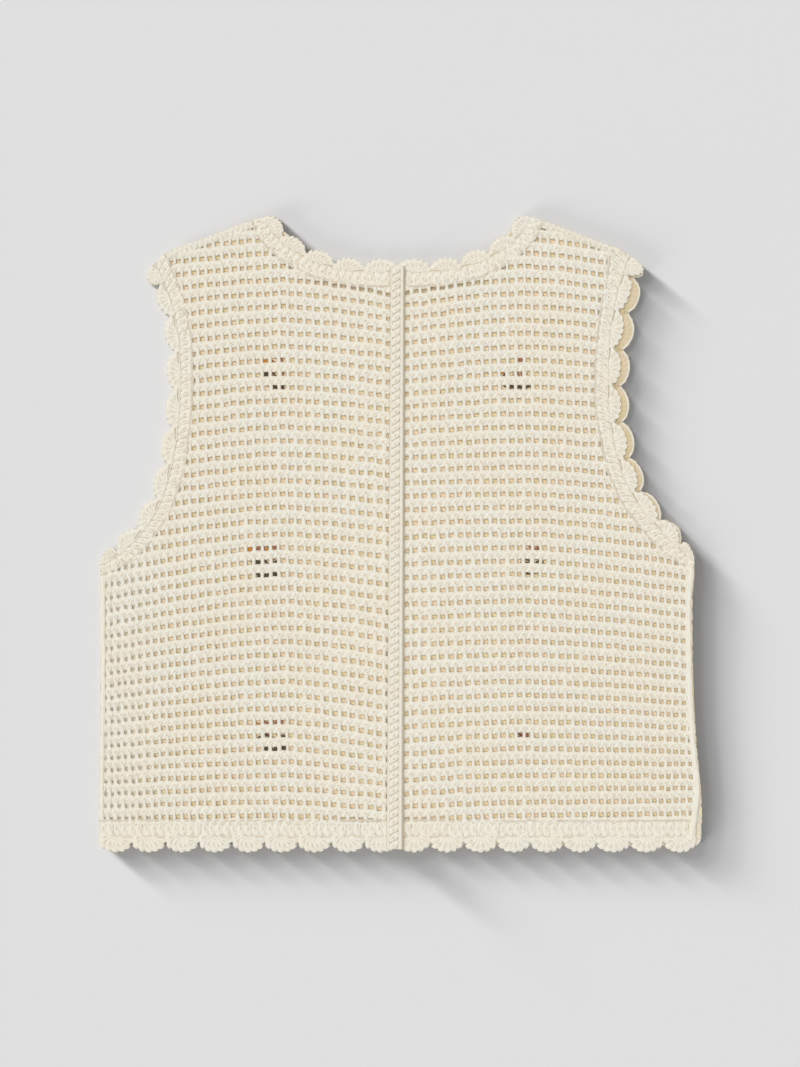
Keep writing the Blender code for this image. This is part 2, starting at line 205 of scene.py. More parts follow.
AXIS_LINE = np.array([(AXIS_X, PAST), (AXIS_X, -PAST)])
neck_line = {side: half_curve(NECK, side) for side in SIGN}
armhole_line = {side: half_curve(ARMHOLE, side, side) for side in SIGN}
front_armhole_line = {side: half_curve(ARMHOLE, side, FRONT_COLUMN[side]) for side in SIGN}
shoulder_line = {side: half_curve(SHOULDER, side) for side in SIGN}
side_line = {side: half_curve(SIDE, side, side) for side in SIGN}
front_side_line = {side: half_curve(SIDE, side, FRONT_COLUMN[side]) for side in SIGN}
whole_neck = [(-1, row) for row in NECK[:0:-1]] + [(1, row) for row in NECK]
reach = NECK[-2].from_axis
front_neck_line = smooth(
    [
        (AXIS_X + s * p.from_axis, p.y - FRONT_NECK_DROP * max(0, 1 - (p.from_axis / reach) ** 2))
        for s, p in whole_neck
    ]
)
print("edges:", len(neck_line) + len(armhole_line) + len(shoulder_line) + len(side_line) + 3)

# %% [markdown]
# ## One strand of yarn
#
# Yarn is a round strand. Each strand here starts as a cylinder with open ends. Its long edges are selected
# and subdivided, which cuts it into rings, and each ring is then resized, turned and moved, as one would
# pull a strand into shape by hand. In a session without a window, transform.rotate turns the other way, so
# the angle is given with its sign changed.

# %% A strand, and how its rings are shaped
Ring = namedtuple("Ring", "x y z wide thick turn", defaults=(0.0, 0.0, 1.0, 1.0, 0.0))
WELD = 0.00004                    # in metres: ends of strands this near each other are merged


def only(item):
    bpy.ops.object.select_all(action="DESELECT")
    item.select_set(True)
    bpy.context.view_layer.objects.active = item


def pick(mesh, vertices=(), edges=()):
    """Select these vertices or edges of a mesh, and nothing else."""
    for part, wanted in ((mesh.vertices, vertices), (mesh.edges, edges)):
        flags = np.zeros(len(part), bool)
        flags[list(wanted)] = True
        part.foreach_set("select", flags)
    mesh.polygons.foreach_set("select", np.zeros(len(mesh.polygons), bool))


def strand(length, radius, cuts, sides=6, closed=False):
    """A tube along X, from 0 to its length, with as many rings as cuts plus 2."""
    bpy.ops.object.select_all(action="DESELECT")
    bpy.ops.mesh.primitive_cylinder_add(
        vertices=sides,
        radius=radius * MM,
        depth=length * MM,
        end_fill_type="NGON" if closed else "NOTHING",
        location=(length / 2 * MM, 0, 0),
        rotation=(0, math.pi / 2, 0),
    )
    tube = bpy.context.object
    bpy.ops.object.transform_apply(location=True, rotation=True, scale=False)
    mesh = tube.data
    xs = [v.co.x for v in mesh.vertices]
    spans = [abs(xs[e.vertices[0]] - xs[e.vertices[1]]) for e in mesh.edges]
    long_edges = [k for k, span in enumerate(spans) if span > length / 2 * MM]
    bpy.ops.object.mode_set(mode="EDIT")
    bpy.ops.mesh.select_mode(type="EDGE")
    bpy.ops.object.mode_set(mode="OBJECT")
    pick(mesh, edges=long_edges)
    bpy.ops.object.mode_set(mode="EDIT")
    bpy.ops.mesh.subdivide(number_cuts=cuts)
    bpy.ops.mesh.select_mode(type="VERT")
    bpy.ops.object.mode_set(mode="OBJECT")
    return tube


def shape(tube, length, rings):
    """Give each ring of a strand its place, width, thickness and turn about Z."""
    mesh = tube.data
    xs = np.array([v.co.x for v in mesh.vertices]) / MM
    step = length / (len(rings) - 1)
    for k, ring in enumerate(rings):
        pick(mesh, vertices=np.flatnonzero(abs(xs - k * step) < step / 10))
        middle = (k * step * MM, 0, 0)
        bpy.ops.object.mode_set(mode="EDIT")
        bpy.ops.transform.resize(value=(1, ring.wide, ring.thick), center_override=middle)
        if ring.turn:
            turn = -math.radians(ring.turn)
            bpy.ops.transform.rotate(value=turn, orient_axis="Z", center_override=middle)
        move = ((ring.x - k * step) * MM, ring.y * MM, ring.z * MM)
        bpy.ops.transform.translate(value=move)
        bpy.ops.object.mode_set(mode="OBJECT")


def placed(tube, angle=0.0, x=0.0, y=0.0, z=0.0):
    """Turn a finished piece about Z and move it, and keep both in its mesh."""
    only(tube)
    tube.rotation_euler.z = math.radians(angle)
    tube.location = (x * MM, y * MM, z * MM)
    bpy.ops.object.transform_apply(location=True, rotation=True, scale=False)
    return tube


def copied(item):
    """A copy with its own mesh."""
    twin = item.copy()
    twin.data = item.data.copy()
    bpy.context.scene.collection.objects.link(twin)
    return twin


def joined(name, items):
    only(items[0])
    for item in items:
        item.select_set(True)
    bpy.ops.object.join()
    items[0].name = items[0].data.name = name
    return items[0]


def repeated(item, count, offset, merge=False):
    """A row of copies, by an Array modifier that is applied."""
    only(item)
    bpy.ops.object.modifier_add(type="ARRAY")
    row = item.modifiers[-1]
    row.count = count
    row.use_relative_offset = False
    row.use_constant_offset = True
    row.constant_offset_displace = [c * MM for c in offset]
    row.use_merge_vertices = merge
    row.merge_threshold = WELD
    bpy.ops.object.modifier_apply(modifier=row.name)
    return item


print("a strand is ready to shape")

# %% [markdown]
# ## A plump strand with a pressed top
#
# A crocheted loop shows as a plump strand with thin ends, and its plies part along the top. It could be a
# curve with a bevel, but a curve's top can't be pressed in. So it is a strand with closed ends. Its top
# vertices are pushed down first, and its rings then take the sizes in a short list of sections. The pressed
# vertices are marked in an attribute, which the cotton's material reads to paint shade into the groove.

# %% A closed strand with a pressed top
Section = namedtuple("Section", "side lift wide thick")
END_SHARE = 0.01                  # of its length, where a strand's end is left as it is
TOP_SHARE = 0.9                   # of its radius, above which a vertex is at its top


def mark(item, name, vertices, strength=1.0):
    """An attribute of this strength at these vertices and 0 elsewhere, for a material to read."""
    values = np.zeros(len(item.data.vertices), np.float32)
    values[list(vertices)] = strength
    item.data.attributes.new(name, "FLOAT", "POINT").data.foreach_set("value", values)


def plump(length, radius, sections, sides=8, groove=0.0):
    """A closed strand, shaped by its sections, with a groove pressed along its top."""
    tube = strand(length, radius, len(sections) - 2, sides, closed=True)
    if groove:
        shares = [v.co.x / (length * MM) for v in tube.data.vertices]
        high = [v.index for v in tube.data.vertices if v.co.z > TOP_SHARE * radius * MM]
        tops = [i for i in high if END_SHARE < shares[i] < 1 - END_SHARE]
        along = [shares[i] for i in tops]
        # the groove's top vertices are marked for painted shade
        mark(tube, "groove", tops, [math.sin(math.pi * a) ** 2 for a in along])
        pick(tube.data, vertices=tops)
        bpy.ops.object.mode_set(mode="EDIT")
        bpy.ops.transform.translate(value=(0, 0, -groove * radius * MM))
        bpy.ops.object.mode_set(mode="OBJECT")
    step = length / (len(sections) - 1)
    rings = [Ring(k * step, s.side, s.lift, s.wide, s.thick) for k, s in enumerate(sections)]
    shape(tube, length, rings)
    return tube


print("a strand can be pressed along its top")

# %% [markdown]
# ## A stretch of bar
#
# The top of a crocheted stitch is a plump loop that leans over the next one. Its two strands leave a
# shallow groove along its middle. One loop is a closed strand, fat in the middle, whose lower end is tucked
# under its neighbour. Behind the loops runs a flat core, the yarn that holds them together. One loop and
# its stretch of core make a cell of the bar, and an Array modifier makes the row.

# %% A loop that leans over a core
LOOP_LENGTH = 9.2
LOOP_RADIUS = 2.75
LOOP_LEAN = 37.0
LOOP_GROOVE = 0.6
LOOP = [
    Section(0.0, -0.5, 0.6, 0.36),
    Section(0.2, -0.05, 0.96, 0.5),
    Section(0.0, 0.2, 1.06, 0.55),
    Section(-0.2, 0.3, 0.96, 0.5),
    Section(0.0, 0.0, 0.6, 0.36),
]
FLAT_LOOP = [
    Section(0.0, -0.3, 0.7, 0.36),
    Section(0.1, 0.0, 1.04, 0.5),
    Section(-0.1, 0.2, 1.04, 0.5),
    Section(0.0, 0.0, 0.7, 0.36),
]
CORE_RADIUS = 3.6
CORE_DEPTH = 0.91                 # about half its thickness
CORE_DROP = 0.2


def loop(sections=LOOP, sides=8):
    """A loop that leans over the middle of a cell."""
    item = plump(LOOP_LENGTH, LOOP_RADIUS, sections, sides, LOOP_GROOVE)
    lean = math.radians(LOOP_LEAN)
    start_x = STITCH / 2 - LOOP_LENGTH / 2 * math.cos(lean)
    return placed(item, LOOP_LEAN, start_x, -LOOP_LENGTH / 2 * math.sin(lean))


def core(radius=CORE_RADIUS):
    """The flat yarn behind the loop of one cell."""
    item = strand(STITCH, radius, cuts=1)
    shape(item, STITCH, [Ring(k * STITCH / 2, 0, -CORE_DROP, 1, CORE_DEPTH / radius) for k in range(3)])
    return item


bar_loop = loop()
bar = joined("bar", [copied(bar_loop), core()])
print("a stretch of bar:", len(bar.data.polygons), "faces")

# %% [markdown]
# ## A post
#
# Between two bars stand the posts of the stitches, one for each cell. A post is a short strand, waisted in
# the middle and spread where the bars pull it. It is longer than the hole, so its ends are hidden inside
# both bars.

# %% A post of one stitch
POST_RADIUS = 1.6
POST_REACH = 6.2
POST = [Section(0.0, 0.0, 1.2, 0.8), Section(0.25, -0.1, 0.92, 0.8), Section(0.0, 0.0, 1.2, 0.8)]


def post(sides=6):
    """A post that hangs from the middle of a cell's bar. Its vertices are marked with their count."""
    tube = plump(POST_REACH, POST_RADIUS, POST, sides)
    count = len(tube.data.vertices)
    mark(tube, "post", range(count), count)
    return placed(tube, -90, STITCH / 2, -(ROW_PITCH - POST_REACH) / 2)


ground = joined("ground", [core(), post()])
print("one cell of net:", len(ground.data.polygons) + len(bar_loop.data.polygons), "faces")

# %% [markdown]
# ## The net
#
# The cell is repeated along a row and the row down the panel, with two Array modifiers. That gives a flat
# rectangle of net. The points of the rectangle are then moved onto the garment: the cells close up a little
# towards the side, each row follows its arch, and small uneven shifts make it handmade. The ground of
# cores and posts is one piece and the loops on it are another, moved by the same shifts, so they stay
# together.

# %% How rows arch, and how stitches wander
ArchPoint = namedtuple("ArchPoint", "y left_side left_centre right_centre right_side")
ARCH = [
    ArchPoint(225, 16, 16, 14, 22),
    ArchPoint(165, 16, 9, 9, 16),
    ArchPoint(101, 19, 8, 6, 12),
    ArchPoint(36, 16, 7, 2, 13),
    ArchPoint(-27, 21, 9, 3, 14),
    ArchPoint(-90, 17, 11, 3, 10),
    ArchPoint(-156, 10, 12, 5, 5),
    ArchPoint(-221, 3, 6, 4, -2),
]
CREST_FROM_AXIS = {"left": 92.0, "right": 101.0}
SIDE_FROM_AXIS = 237.0
ARCH_POWER = 1.5
CLOSING_UP = 0.13                 # cells are this share wider at the centre than their mean
SQUEEZE = {"left": 17.0, "right": 5.0}
SQUEEZED = 0.16                   # the share of a panel by its side seam where they close up more
FATTER_POSTS = {"left": 0.15, "right": 0.03}   # and where the posts take up more of each cell
FATTER_SHARE = 0.3
WANDER_ALONG, WANDER_ACROSS, WANDER_UP = 0.8, 0.5, 0.22
FINE_WANDER = 0.5                 # from one half of a cell to the next
LAST = 1.99                       # shifts are read up to just short of a field's last row and column


def arch_drop(side, from_axis, y):
    """How far a bar that crests at height y has fallen at a distance from the axis."""
    ys = [-p.y for p in ARCH]
    at_side = np.interp(-y, ys, [getattr(p, f"{side}_side") for p in ARCH])
    at_centre = np.interp(-y, ys, [getattr(p, f"{side}_centre") for p in ARCH])
    crest = CREST_FROM_AXIS[side]
    away = from_axis - crest
    outside = at_side * (np.maximum(away, 0) / (SIDE_FROM_AXIS - crest)) ** ARCH_POWER
    return outside + at_centre * (np.maximum(-away, 0) / crest) ** ARCH_POWER


def wander(seed, rows, columns, amount):
    """A field of small uneven shifts, one value for each cell, read between the cells."""
    values = np.random.default_rng(seed).uniform(-amount, amount, (rows + 3, columns + 3))

    def at(row, column):
        row, column = np.clip(row + 1, 0, rows + LAST), np.clip(column + 1, 0, columns + LAST)
        r, c = row.astype(int), column.astype(int)
        down, along = row - r, column - c
        top = values[r, c] * (1 - along) + values[r, c + 1] * along
        low = values[r + 1, c] * (1 - along) + values[r + 1, c + 1] * along
        return top * (1 - down) + low * down

    return at


def points_of(item):
    flat = np.empty(len(item.data.vertices) * 3, np.float32)
    item.data.vertices.foreach_get("co", flat)
    return flat.reshape(-1, 3).astype(float) / MM


def put_points(item, points):
    item.data.vertices.foreach_set("co", (points * MM).astype(np.float32).ravel())
    item.data.update()


fall = arch_drop("left", np.array(SIDE_FROM_AXIS), np.array(0.0))
print("row at the chest falls", round(float(fall), 1), "mm")

# %% [markdown]
# ## Trimming a panel
#
# A panel's edge cuts through its cells, and on the real garment the edging is worked over that edge. A
# Boolean could cut the net, but it is slow on so many strands and can leave them open. Here the plain solid
# is the guide, with a small margin round it. What lies just past the margin is pressed back to it, what
# lies further out is deleted, and the cut ends are filled. A post stays whole or goes as a whole.

# %% Trim a panel to its plain solid
TRIM_MARGIN = {"front": 0.8, "back": 2.0}
PRESS_BACK = 3.6                  # a strand up to this far past the margin is pressed back to it
CLOSING_ROUNDS = 3                # what still gapes is cut back a ring and filled again


def posts_of(item):
    """The vertices of each post, one row for each. Every one of them is marked with their count."""
    marks = item.data.attributes.get("post")
    if marks is None:
        return np.empty((0, 1), int)
    values = np.empty(len(item.data.vertices), np.float32)
    marks.data.foreach_get("value", values)
    return np.flatnonzero(values > 0.5).reshape(-1, int(values.max()))


def cut_off():
    """In edit mode, delete the selected vertices and fill the ends that they leave."""
    bpy.ops.mesh.delete(type="VERT")
    bpy.ops.mesh.select_all(action="SELECT")
    bpy.ops.mesh.delete_loose(use_verts=True, use_edges=True, use_faces=False)
    bpy.ops.mesh.select_all(action="SELECT")
    bpy.ops.mesh.fill_holes(sides=0)


def trimmed(item, node, margin):
    """Press back what lies just past the margin round a solid, cut off the rest, and close the cuts."""
    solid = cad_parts[node].data
    corners = [v.co for v in solid.vertices]
    tree = BVHTree.FromPolygons(corners, [p.vertices for p in solid.polygons])
    low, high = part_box(node)
    middle, above = (low.z + high.z) / 2, high.z + MM
    past = np.zeros(len(item.data.vertices))          # how far each vertex lies past the solid, in mm
    edges = np.zeros((len(past), 2))
    for v in item.data.vertices:
        over = tree.ray_cast(Vector((v.co.x, v.co.y, above)), Vector((0, 0, -1)))[0]
        if over is None:
            edge = tree.find_nearest(Vector((v.co.x, v.co.y, middle)))[0]
            past[v.index] = math.hypot(v.co.x - edge.x, v.co.y - edge.y) / MM
            edges[v.index] = edge.x / MM, edge.y / MM
    outside = past > margin + PRESS_BACK
    posts = posts_of(item)        # a post goes as a whole or stays
    outside[posts] = ((past[posts] > margin).mean(axis=1) > 0.5)[:, None]
    p = points_of(item)
    pressed = np.flatnonzero((past > margin) & ~outside)
    share = (margin / past[pressed])[:, None]
    p[pressed, :2] = edges[pressed] * (1 - share) + p[pressed, :2] * share
    put_points(item, p)
    only(item)
    pick(item.data, vertices=np.flatnonzero(outside))
    bpy.ops.object.mode_set(mode="EDIT")
    cut_off()
    for _ in range(CLOSING_ROUNDS):
        bpy.ops.mesh.select_all(action="DESELECT")
        bpy.ops.mesh.select_non_manifold()
        cut_off()
    bpy.ops.mesh.select_all(action="SELECT")
    bpy.ops.mesh.normals_make_consistent(inside=False)
    bpy.ops.object.mode_set(mode="OBJECT")
    return item


print("net is kept up to", TRIM_MARGIN["back"], "mm past the back's solid")

# %% Panels of net for the back
POST_SPREAD = {"back": 1.0, "front": 0.0}       # how fully FATTER_POSTS acts on a layer's posts
BAR_SPREAD = {"back": 0.42, "front": 0.0}       # and on its bars
ROW_SHIFT = {"back": 0.0, "front": 0.5}         # how much of a row a layer lies lower
UNEVEN_UP_SHARE = {"back": 1.0, "front": 0.0}   # the front is pressed even


def net(name, side, layer, node, template, seed):
    """Half a panel: rows of cells, laid on the arched rows of the garment."""
    columns = math.ceil(HALF_WIDTH / STITCH)
    panel = copied(template)
    panel.name = panel.data.name = name
    repeated(panel, columns, (STITCH, 0, 0), merge=True)
    repeated(panel, ROWS + 1, (0, -ROW_PITCH, 0))
    p = points_of(panel)
    row, column = -p[:, 1] / ROW_PITCH, p[:, 0] / STITCH
    share = column / columns
    if side == "left":
        share = 1 - share
    fatter = FATTER_POSTS[side] * np.clip((share - 1 + FATTER_SHARE) / FATTER_SHARE, 0, 1)
    share = share - fatter * np.sin(2 * math.pi * share * columns) / columns * POST_SPREAD[layer]
    from_axis = HALF_WIDTH * share * (1 + CLOSING_UP * (1 - share))
    from_axis = from_axis - SQUEEZE[side] * np.maximum(share - 1 + SQUEEZED, 0) ** 2 / SQUEEZED
    fine_along = wander(seed + 3, 2 * ROWS, 2 * columns, FINE_WANDER)(2 * row, 2 * column)
    fine_across = wander(seed + 4, 2 * ROWS, 2 * columns, FINE_WANDER)(2 * row, 2 * column)
    from_axis = from_axis + wander(seed, ROWS, columns, WANDER_ALONG)(row, column) + fine_along
    swell = BAR_SPREAD[layer] * fatter * np.sin(2 * math.pi * row)
    y = TOP_BAR - (row + swell + ROW_SHIFT[layer]) * ROW_PITCH
    y = y - arch_drop(side, np.maximum(from_axis, 0), y)
    y = y + wander(seed + 1, ROWS, columns, WANDER_ACROSS)(row, column) + fine_across
    z = p[:, 2] + UNEVEN_UP_SHARE[layer] * wander(seed + 2, ROWS, columns, WANDER_UP)(row, column)
    x = AXIS_X + SIGN[side] * from_axis
    put_points(panel, np.column_stack([x, y, LAYER_MIDDLE[layer] + z]))
    return trimmed(panel, node, TRIM_MARGIN[layer])


back_nets, back_loops = {}, {}
for k, side in enumerate(SIGN):
    seed, node = 10 * k + 1, f"back_{side}"
    back_nets[side] = net(f"{node}_net", side, "back", node, ground, seed)
    back_loops[side] = net(f"{node}_loops", side, "back", node, bar_loop, seed)
    print(node, len(back_nets[side].data.polygons) + len(back_loops[side].data.polygons), "faces")

# %% [markdown]
# ## The front
#
# The front lies under the back, pressed flat on the table, and only its inner side shows, through the holes
# of the back. It is made of the same cells with fewer rings, and pressed flatter. Its rows lie half a row
# lower than those of the back, so that its bars close the holes, as they do on the real garment.

# %% The front's net
FRONT_FLAT = 0.72
FRONT_CORE_RADIUS = 4.5           # the front's bars are pressed broad


def pressed(item):
    points = points_of(item)
    points[:, 2] *= FRONT_FLAT
    put_points(item, points)
    return item


front_ground = pressed(joined("front_ground", [core(FRONT_CORE_RADIUS), post(sides=5)]))
front_loop = pressed(loop(FLAT_LOOP, sides=6))
front_nets, front_loops = {}, {}
for k, side in enumerate(SIGN):
    seed = 10 * k + 41
    front_nets[side] = net(f"front_{side}_net", side, "front", "front", front_ground, seed)
    front_loops[side] = net(f"front_{side}_loops", side, "front", "front", front_loop, seed)
    faces = len(front_nets[side].data.polygons) + len(front_loops[side].data.polygons)
    print("front", side, faces, "faces")

# %% [markdown]
# ## One shell of the edging
#
# A shell is a fan of tall stitches worked into one loop. Each stitch is a plump strand with a groove, thin
# at the root and fat at the rim, and the fan swirls a little to one side. Their round ends make the bumps
# of the scallop, over a thinner strand that runs round the rim. The notches between shells are as deep as
# the plain model's.

# %% A fan of stitches under a rim
PETALS = 7
SCALLOP_POINT = 1.5               # 1 gives a half ellipse, 2 a parabola with open notches
SHELL = 26.0                      # width of a shell before it is fitted to its edge
RIM_RADIUS = 0.95
RIM_THICK = 1.2                   # as a share of its radius
RIM_CUTS = 13
RIM_INSET = {"back": 1.9, "front": 0.95}
RIM_LIFT = {"back": -0.2, "front": 0.35}
ROOT_SPREAD = 0.22                # the roots' spread, as a share of the rim's
PETAL_THICK = 1.4
PETAL_GROOVE = {"back": 0.5, "front": 0.0}
PETAL_SWIRL = {"back": 1.8, "front": 0.3}
PETAL_WIDE = (0.38, 0.58, 0.78, 0.98, 1.12, 0.66)
PETAL_LIFT = (-0.2, 0.0, 0.1, 0.15, 0.05, -0.4)
PETAL_FULLER = 0.2                # a thin stretch of a stitch is fuller than it is wide
OUTLINE_POINTS, WALL_POINTS = 41, 6


def shell_outline(width, count):
    """The scallop from notch to notch, as points and the angle of the edge at each."""
    turn = np.linspace(0, math.pi, count)
    bulge = np.sin(turn) ** SCALLOP_POINT
    points = np.column_stack([-np.cos(turn) * SHELL / 2, width - NOTCH_DEPTH * (1 - bulge)])
    along = np.gradient(points, axis=0)
    return points, np.degrees(np.arctan2(along[:, 1], along[:, 0]))


def petal_sections(fat, layer):
    """Sections of one stitch of a fan, with its thickness given as a share of its radius."""
    sections = []
    for k, (wide, lift) in enumerate(zip(PETAL_WIDE, PETAL_LIFT)):
        side = -PETAL_SWIRL[layer] * math.sin(math.pi * k / (len(PETAL_WIDE) - 1))
        sections.append(Section(side, lift, wide, min(wide + PETAL_FULLER, 1.0) * PETAL_THICK / fat))
    return sections


ShellKind = namedtuple("ShellKind", "width layer root_gap")
SHELL_KINDS = [
    ShellKind(NECK_WIDE, "back", 0.9),
    ShellKind(ARMHOLE_WIDE, "back", 0.45),
    ShellKind(HEM_WIDE, "back", 1.3),
    ShellKind(NECK_WIDE, "front", 0.4),
    ShellKind(ARMHOLE_WIDE, "front", 0.4),
    ShellKind(FRONT_HEM_WIDE, "front", 0.4),
]


def shell(name, width, layer, root_gap):
    """One fan, its middle on x = 0, over an edging's full width."""
    root_y = BASE_SHARE * width
    arc, _ = shell_outline(width, OUTLINE_POINTS)
    wall = [(-SHELL / 2, y) for y in np.linspace(root_y, width - NOTCH_DEPTH, WALL_POINTS)[1:-1]]
    rim = np.vstack([wall, arc, [(-x, y) for x, y in wall[::-1]]])
    lengths = np.concatenate([[0], np.cumsum(np.linalg.norm(np.diff(rim, axis=0), axis=1))])
    fat = lengths[-1] / PETALS / 2
    sections = petal_sections(fat, layer)
    pieces = []
    for k in range(PETALS):
        at = (k + 0.5) / PETALS * lengths[-1]
        end = np.array([np.interp(at, lengths, rim[:, 0]), np.interp(at, lengths, rim[:, 1])])
        root = np.array([ROOT_SPREAD * end[0], root_y + root_gap])
        reach = end - root
        length = float(np.linalg.norm(reach))
        petal = plump(length, fat, sections, groove=PETAL_GROOVE[layer])
        angle = math.degrees(math.atan2(reach[1], reach[0]))
        pieces.append(placed(petal, angle, *root))
    inset = RIM_INSET[layer]
    points, angles = shell_outline(width - inset, RIM_CUTS + 2)
    points[:, 0] *= 1 - 2 * inset / SHELL
    edge = strand(SHELL, RIM_RADIUS, RIM_CUTS, closed=True)
    lift = RIM_LIFT[layer]
    shape(edge, SHELL, [Ring(x, y, lift, 1, RIM_THICK, a) for (x, y), a in zip(points, angles)])
    mark(edge, "rim", range(len(edge.data.vertices)))
    return joined(name, pieces + [edge])


shell_patterns = {}
for width, layer, root_gap in SHELL_KINDS:
    shell_patterns[width, layer] = shell(f"shell_{layer}_{width:g}", width, layer, root_gap)
for (width, layer), pattern in shell_patterns.items():
    print("shell for the", layer, "edging of", width, "mm:", len(pattern.data.polygons), "faces")

# %% [markdown]
# ## The edgings
#
# An edging is worked outwards from the net: a row of tall stitches over the cut edge, and then the shells.
# Round the armholes a thin cord of yarn lies between the two. The edging is first laid out straight, with
# the net's edge along X, and then every point is moved to its place beside the curve of the real edge: the
# distance along X becomes the distance along the curve.

# %% Sizes of an edging's rows
BASE_STITCH = 5.8
BASE_START = {"back": 1.8, "front": 4.2}     # how far inside the net's edge the tall stitches begin
BASE_END = 0.3                    # and end this far under the shells
BASE_GROOVE = 0.6
BASE = [
    Section(0.0, -0.2, 0.72, 0.34),
    Section(0.15, 0.1, 1.0, 0.44),
    Section(0.0, 0.2, 1.06, 0.46),
    Section(-0.15, 0.1, 1.0, 0.44),
    Section(0.0, -0.2, 0.84, 0.34),
]
BASE_LEAN = {"neck": 0.12, "armhole": 0.5, "hem": 0.0}
BACKING_THICK = 0.55
BACKING_DROP = 0.3
BACKING_INSIDE, BACKING_SHORT = 0.6, 1.5     # past the stitches' roots, and short of the notches
# painted shade on the backing, which shows between the stitches
BACKING_SHADE = 0.8
CORD_RADIUS = 0.7
CORD_LIFT = 0.75
# a thin strand at the net's edge, painted with shade, stands for the shade in the slit where the tall
# stitches go through
SLIT_RADIUS, SLIT_LIFT, SLIT_THICK = 1.1, 0.7, 0.4
SLIT_SHADE = 0.85
SLIT_INSIDE = 0.2                 # past the stitches' roots
CORD_STEP = 4.0
FRONT_PRESS = 0.72
UNEVEN_STEP = 4.6                 # an edging's small shifts change over this distance
UNEVEN_ALONG, UNEVEN_ACROSS, UNEVEN_UP = 0.75, 0.55, 0.22
UNEVEN_ROWS = 6                   # and in this many such steps across it
print("tall stitches", BASE_STITCH, "mm apart, shifts", UNEVEN_STEP, "mm apart")


# %% The straight rows of an edging
def stretched(item, own_length, length):
    """Scale a straight row from its own length to another."""
    p = points_of(item)
    p[:, 0] = p[:, 0] * length / own_length
    put_points(item, p)
    return item


def moved(item, y=0.0, z=0.0, high=1.0, thick=1.0):
    p = points_of(item)
    p[:, 1] = p[:, 1] * high + y
    p[:, 2] = p[:, 2] * thick + z
    put_points(item, p)
    return item


def closed_ends(item):
    """Fill the open ends of a finished row."""
    only(item)
    bpy.ops.object.mode_set(mode="EDIT")
    bpy.ops.mesh.select_all(action="SELECT")
    bpy.ops.mesh.fill_holes(sides=0)
    bpy.ops.object.mode_set(mode="OBJECT")
    return item


def base_row(length, width, lean, inside):
    """Tall stitches side by side, across the inner part of an edging."""
    tall = BASE_SHARE * width + inside + BASE_END
    stitch = plump(tall, BASE_STITCH / 2, BASE, groove=BASE_GROOVE)
    placed(stitch, 90, BASE_STITCH / 2, -inside)
    p = points_of(stitch)
    p[:, 0] += lean * (p[:, 1] + inside - tall / 2)
    put_points(stitch, p)
    count = max(1, round(length / BASE_STITCH))
    repeated(stitch, count, (BASE_STITCH, 0, 0))
    return stretched(stitch, count * BASE_STITCH, length)


def lengthways(length, radius, y=0.0, z=0.0, thick=1.0):
    """One long strand that runs the whole edging."""
    cuts = max(1, round(length / CORD_STEP))
    return moved(strand(length, radius, cuts, closed=True), y, z, thick=thick)


def shaded(item, strength):
    """Mark a strand that lies deep between others, so that its material paints shade on it."""
    mark(item, "groove", range(len(item.data.vertices)), strength)
    return item


print("rows are laid out straight, along X")


# %% Small shifts, and how a straight row follows its path
def unevened(strip, seed, width, inside):
    """Small shifts by hand, which fade out at the outer edge so that the outline stays."""
    p = points_of(strip)
    count = math.ceil(p[:, 0].max() / UNEVEN_STEP)
    along = p[:, 0] / UNEVEN_STEP
    across = np.clip((p[:, 1] + inside) / UNEVEN_STEP, 0, UNEVEN_ROWS)
    inner = np.clip((width - p[:, 1]) / UNEVEN_STEP, 0, 1)
    for k, amount in enumerate((UNEVEN_ALONG, UNEVEN_ACROSS, UNEVEN_UP)):
        shift = wander(seed + k, UNEVEN_ROWS, count, amount)(across, along)
        p[:, k] += shift * (inner if k < 2 else 1)
    p[:, 0] = np.clip(p[:, 0], 0, None)
    put_points(strip, p)
    return strip


def followed(item, path, outwards, middle, width, ends=(None, None), end_reach=0.0):
    """Move a straight row onto a path: x along it, y away from it, z over the layer's middle."""
    steps = np.linalg.norm(np.diff(path, axis=0), axis=1)
    s = np.concatenate([[0], np.cumsum(steps)])
    away = sideways(path) * outwards
    for end, distance in ((ends[0], s), (ends[1], s[-1] - s)):
        if end is not None:
            near = np.clip(distance / end_reach, 0, 1)[:, None]
            away = np.array(end) / width * (1 - near) + away * near
    p = points_of(item)
    foot = np.column_stack([np.interp(p[:, 0], s, path[:, k]) for k in (0, 1)])
    reach = np.column_stack([np.interp(p[:, 0], s, away[:, k]) for k in (0, 1)])
    put_points(item, np.column_stack([foot + reach * p[:, 1:2], middle + p[:, 2]]))
    if outwards < 0:
        only(item)
        bpy.ops.object.mode_set(mode="EDIT")
        bpy.ops.mesh.select_all(action="SELECT")
        bpy.ops.mesh.flip_normals()
        bpy.ops.object.mode_set(mode="OBJECT")
    return item


print("a row can follow a path")

# %% One edging along its path
MOST_SHELLS = 40
SLIVER = 0.2                      # a part of a shell smaller than this share isn't worked


def length_of(path):
    return float(np.linalg.norm(np.diff(path, axis=0), axis=1).sum())


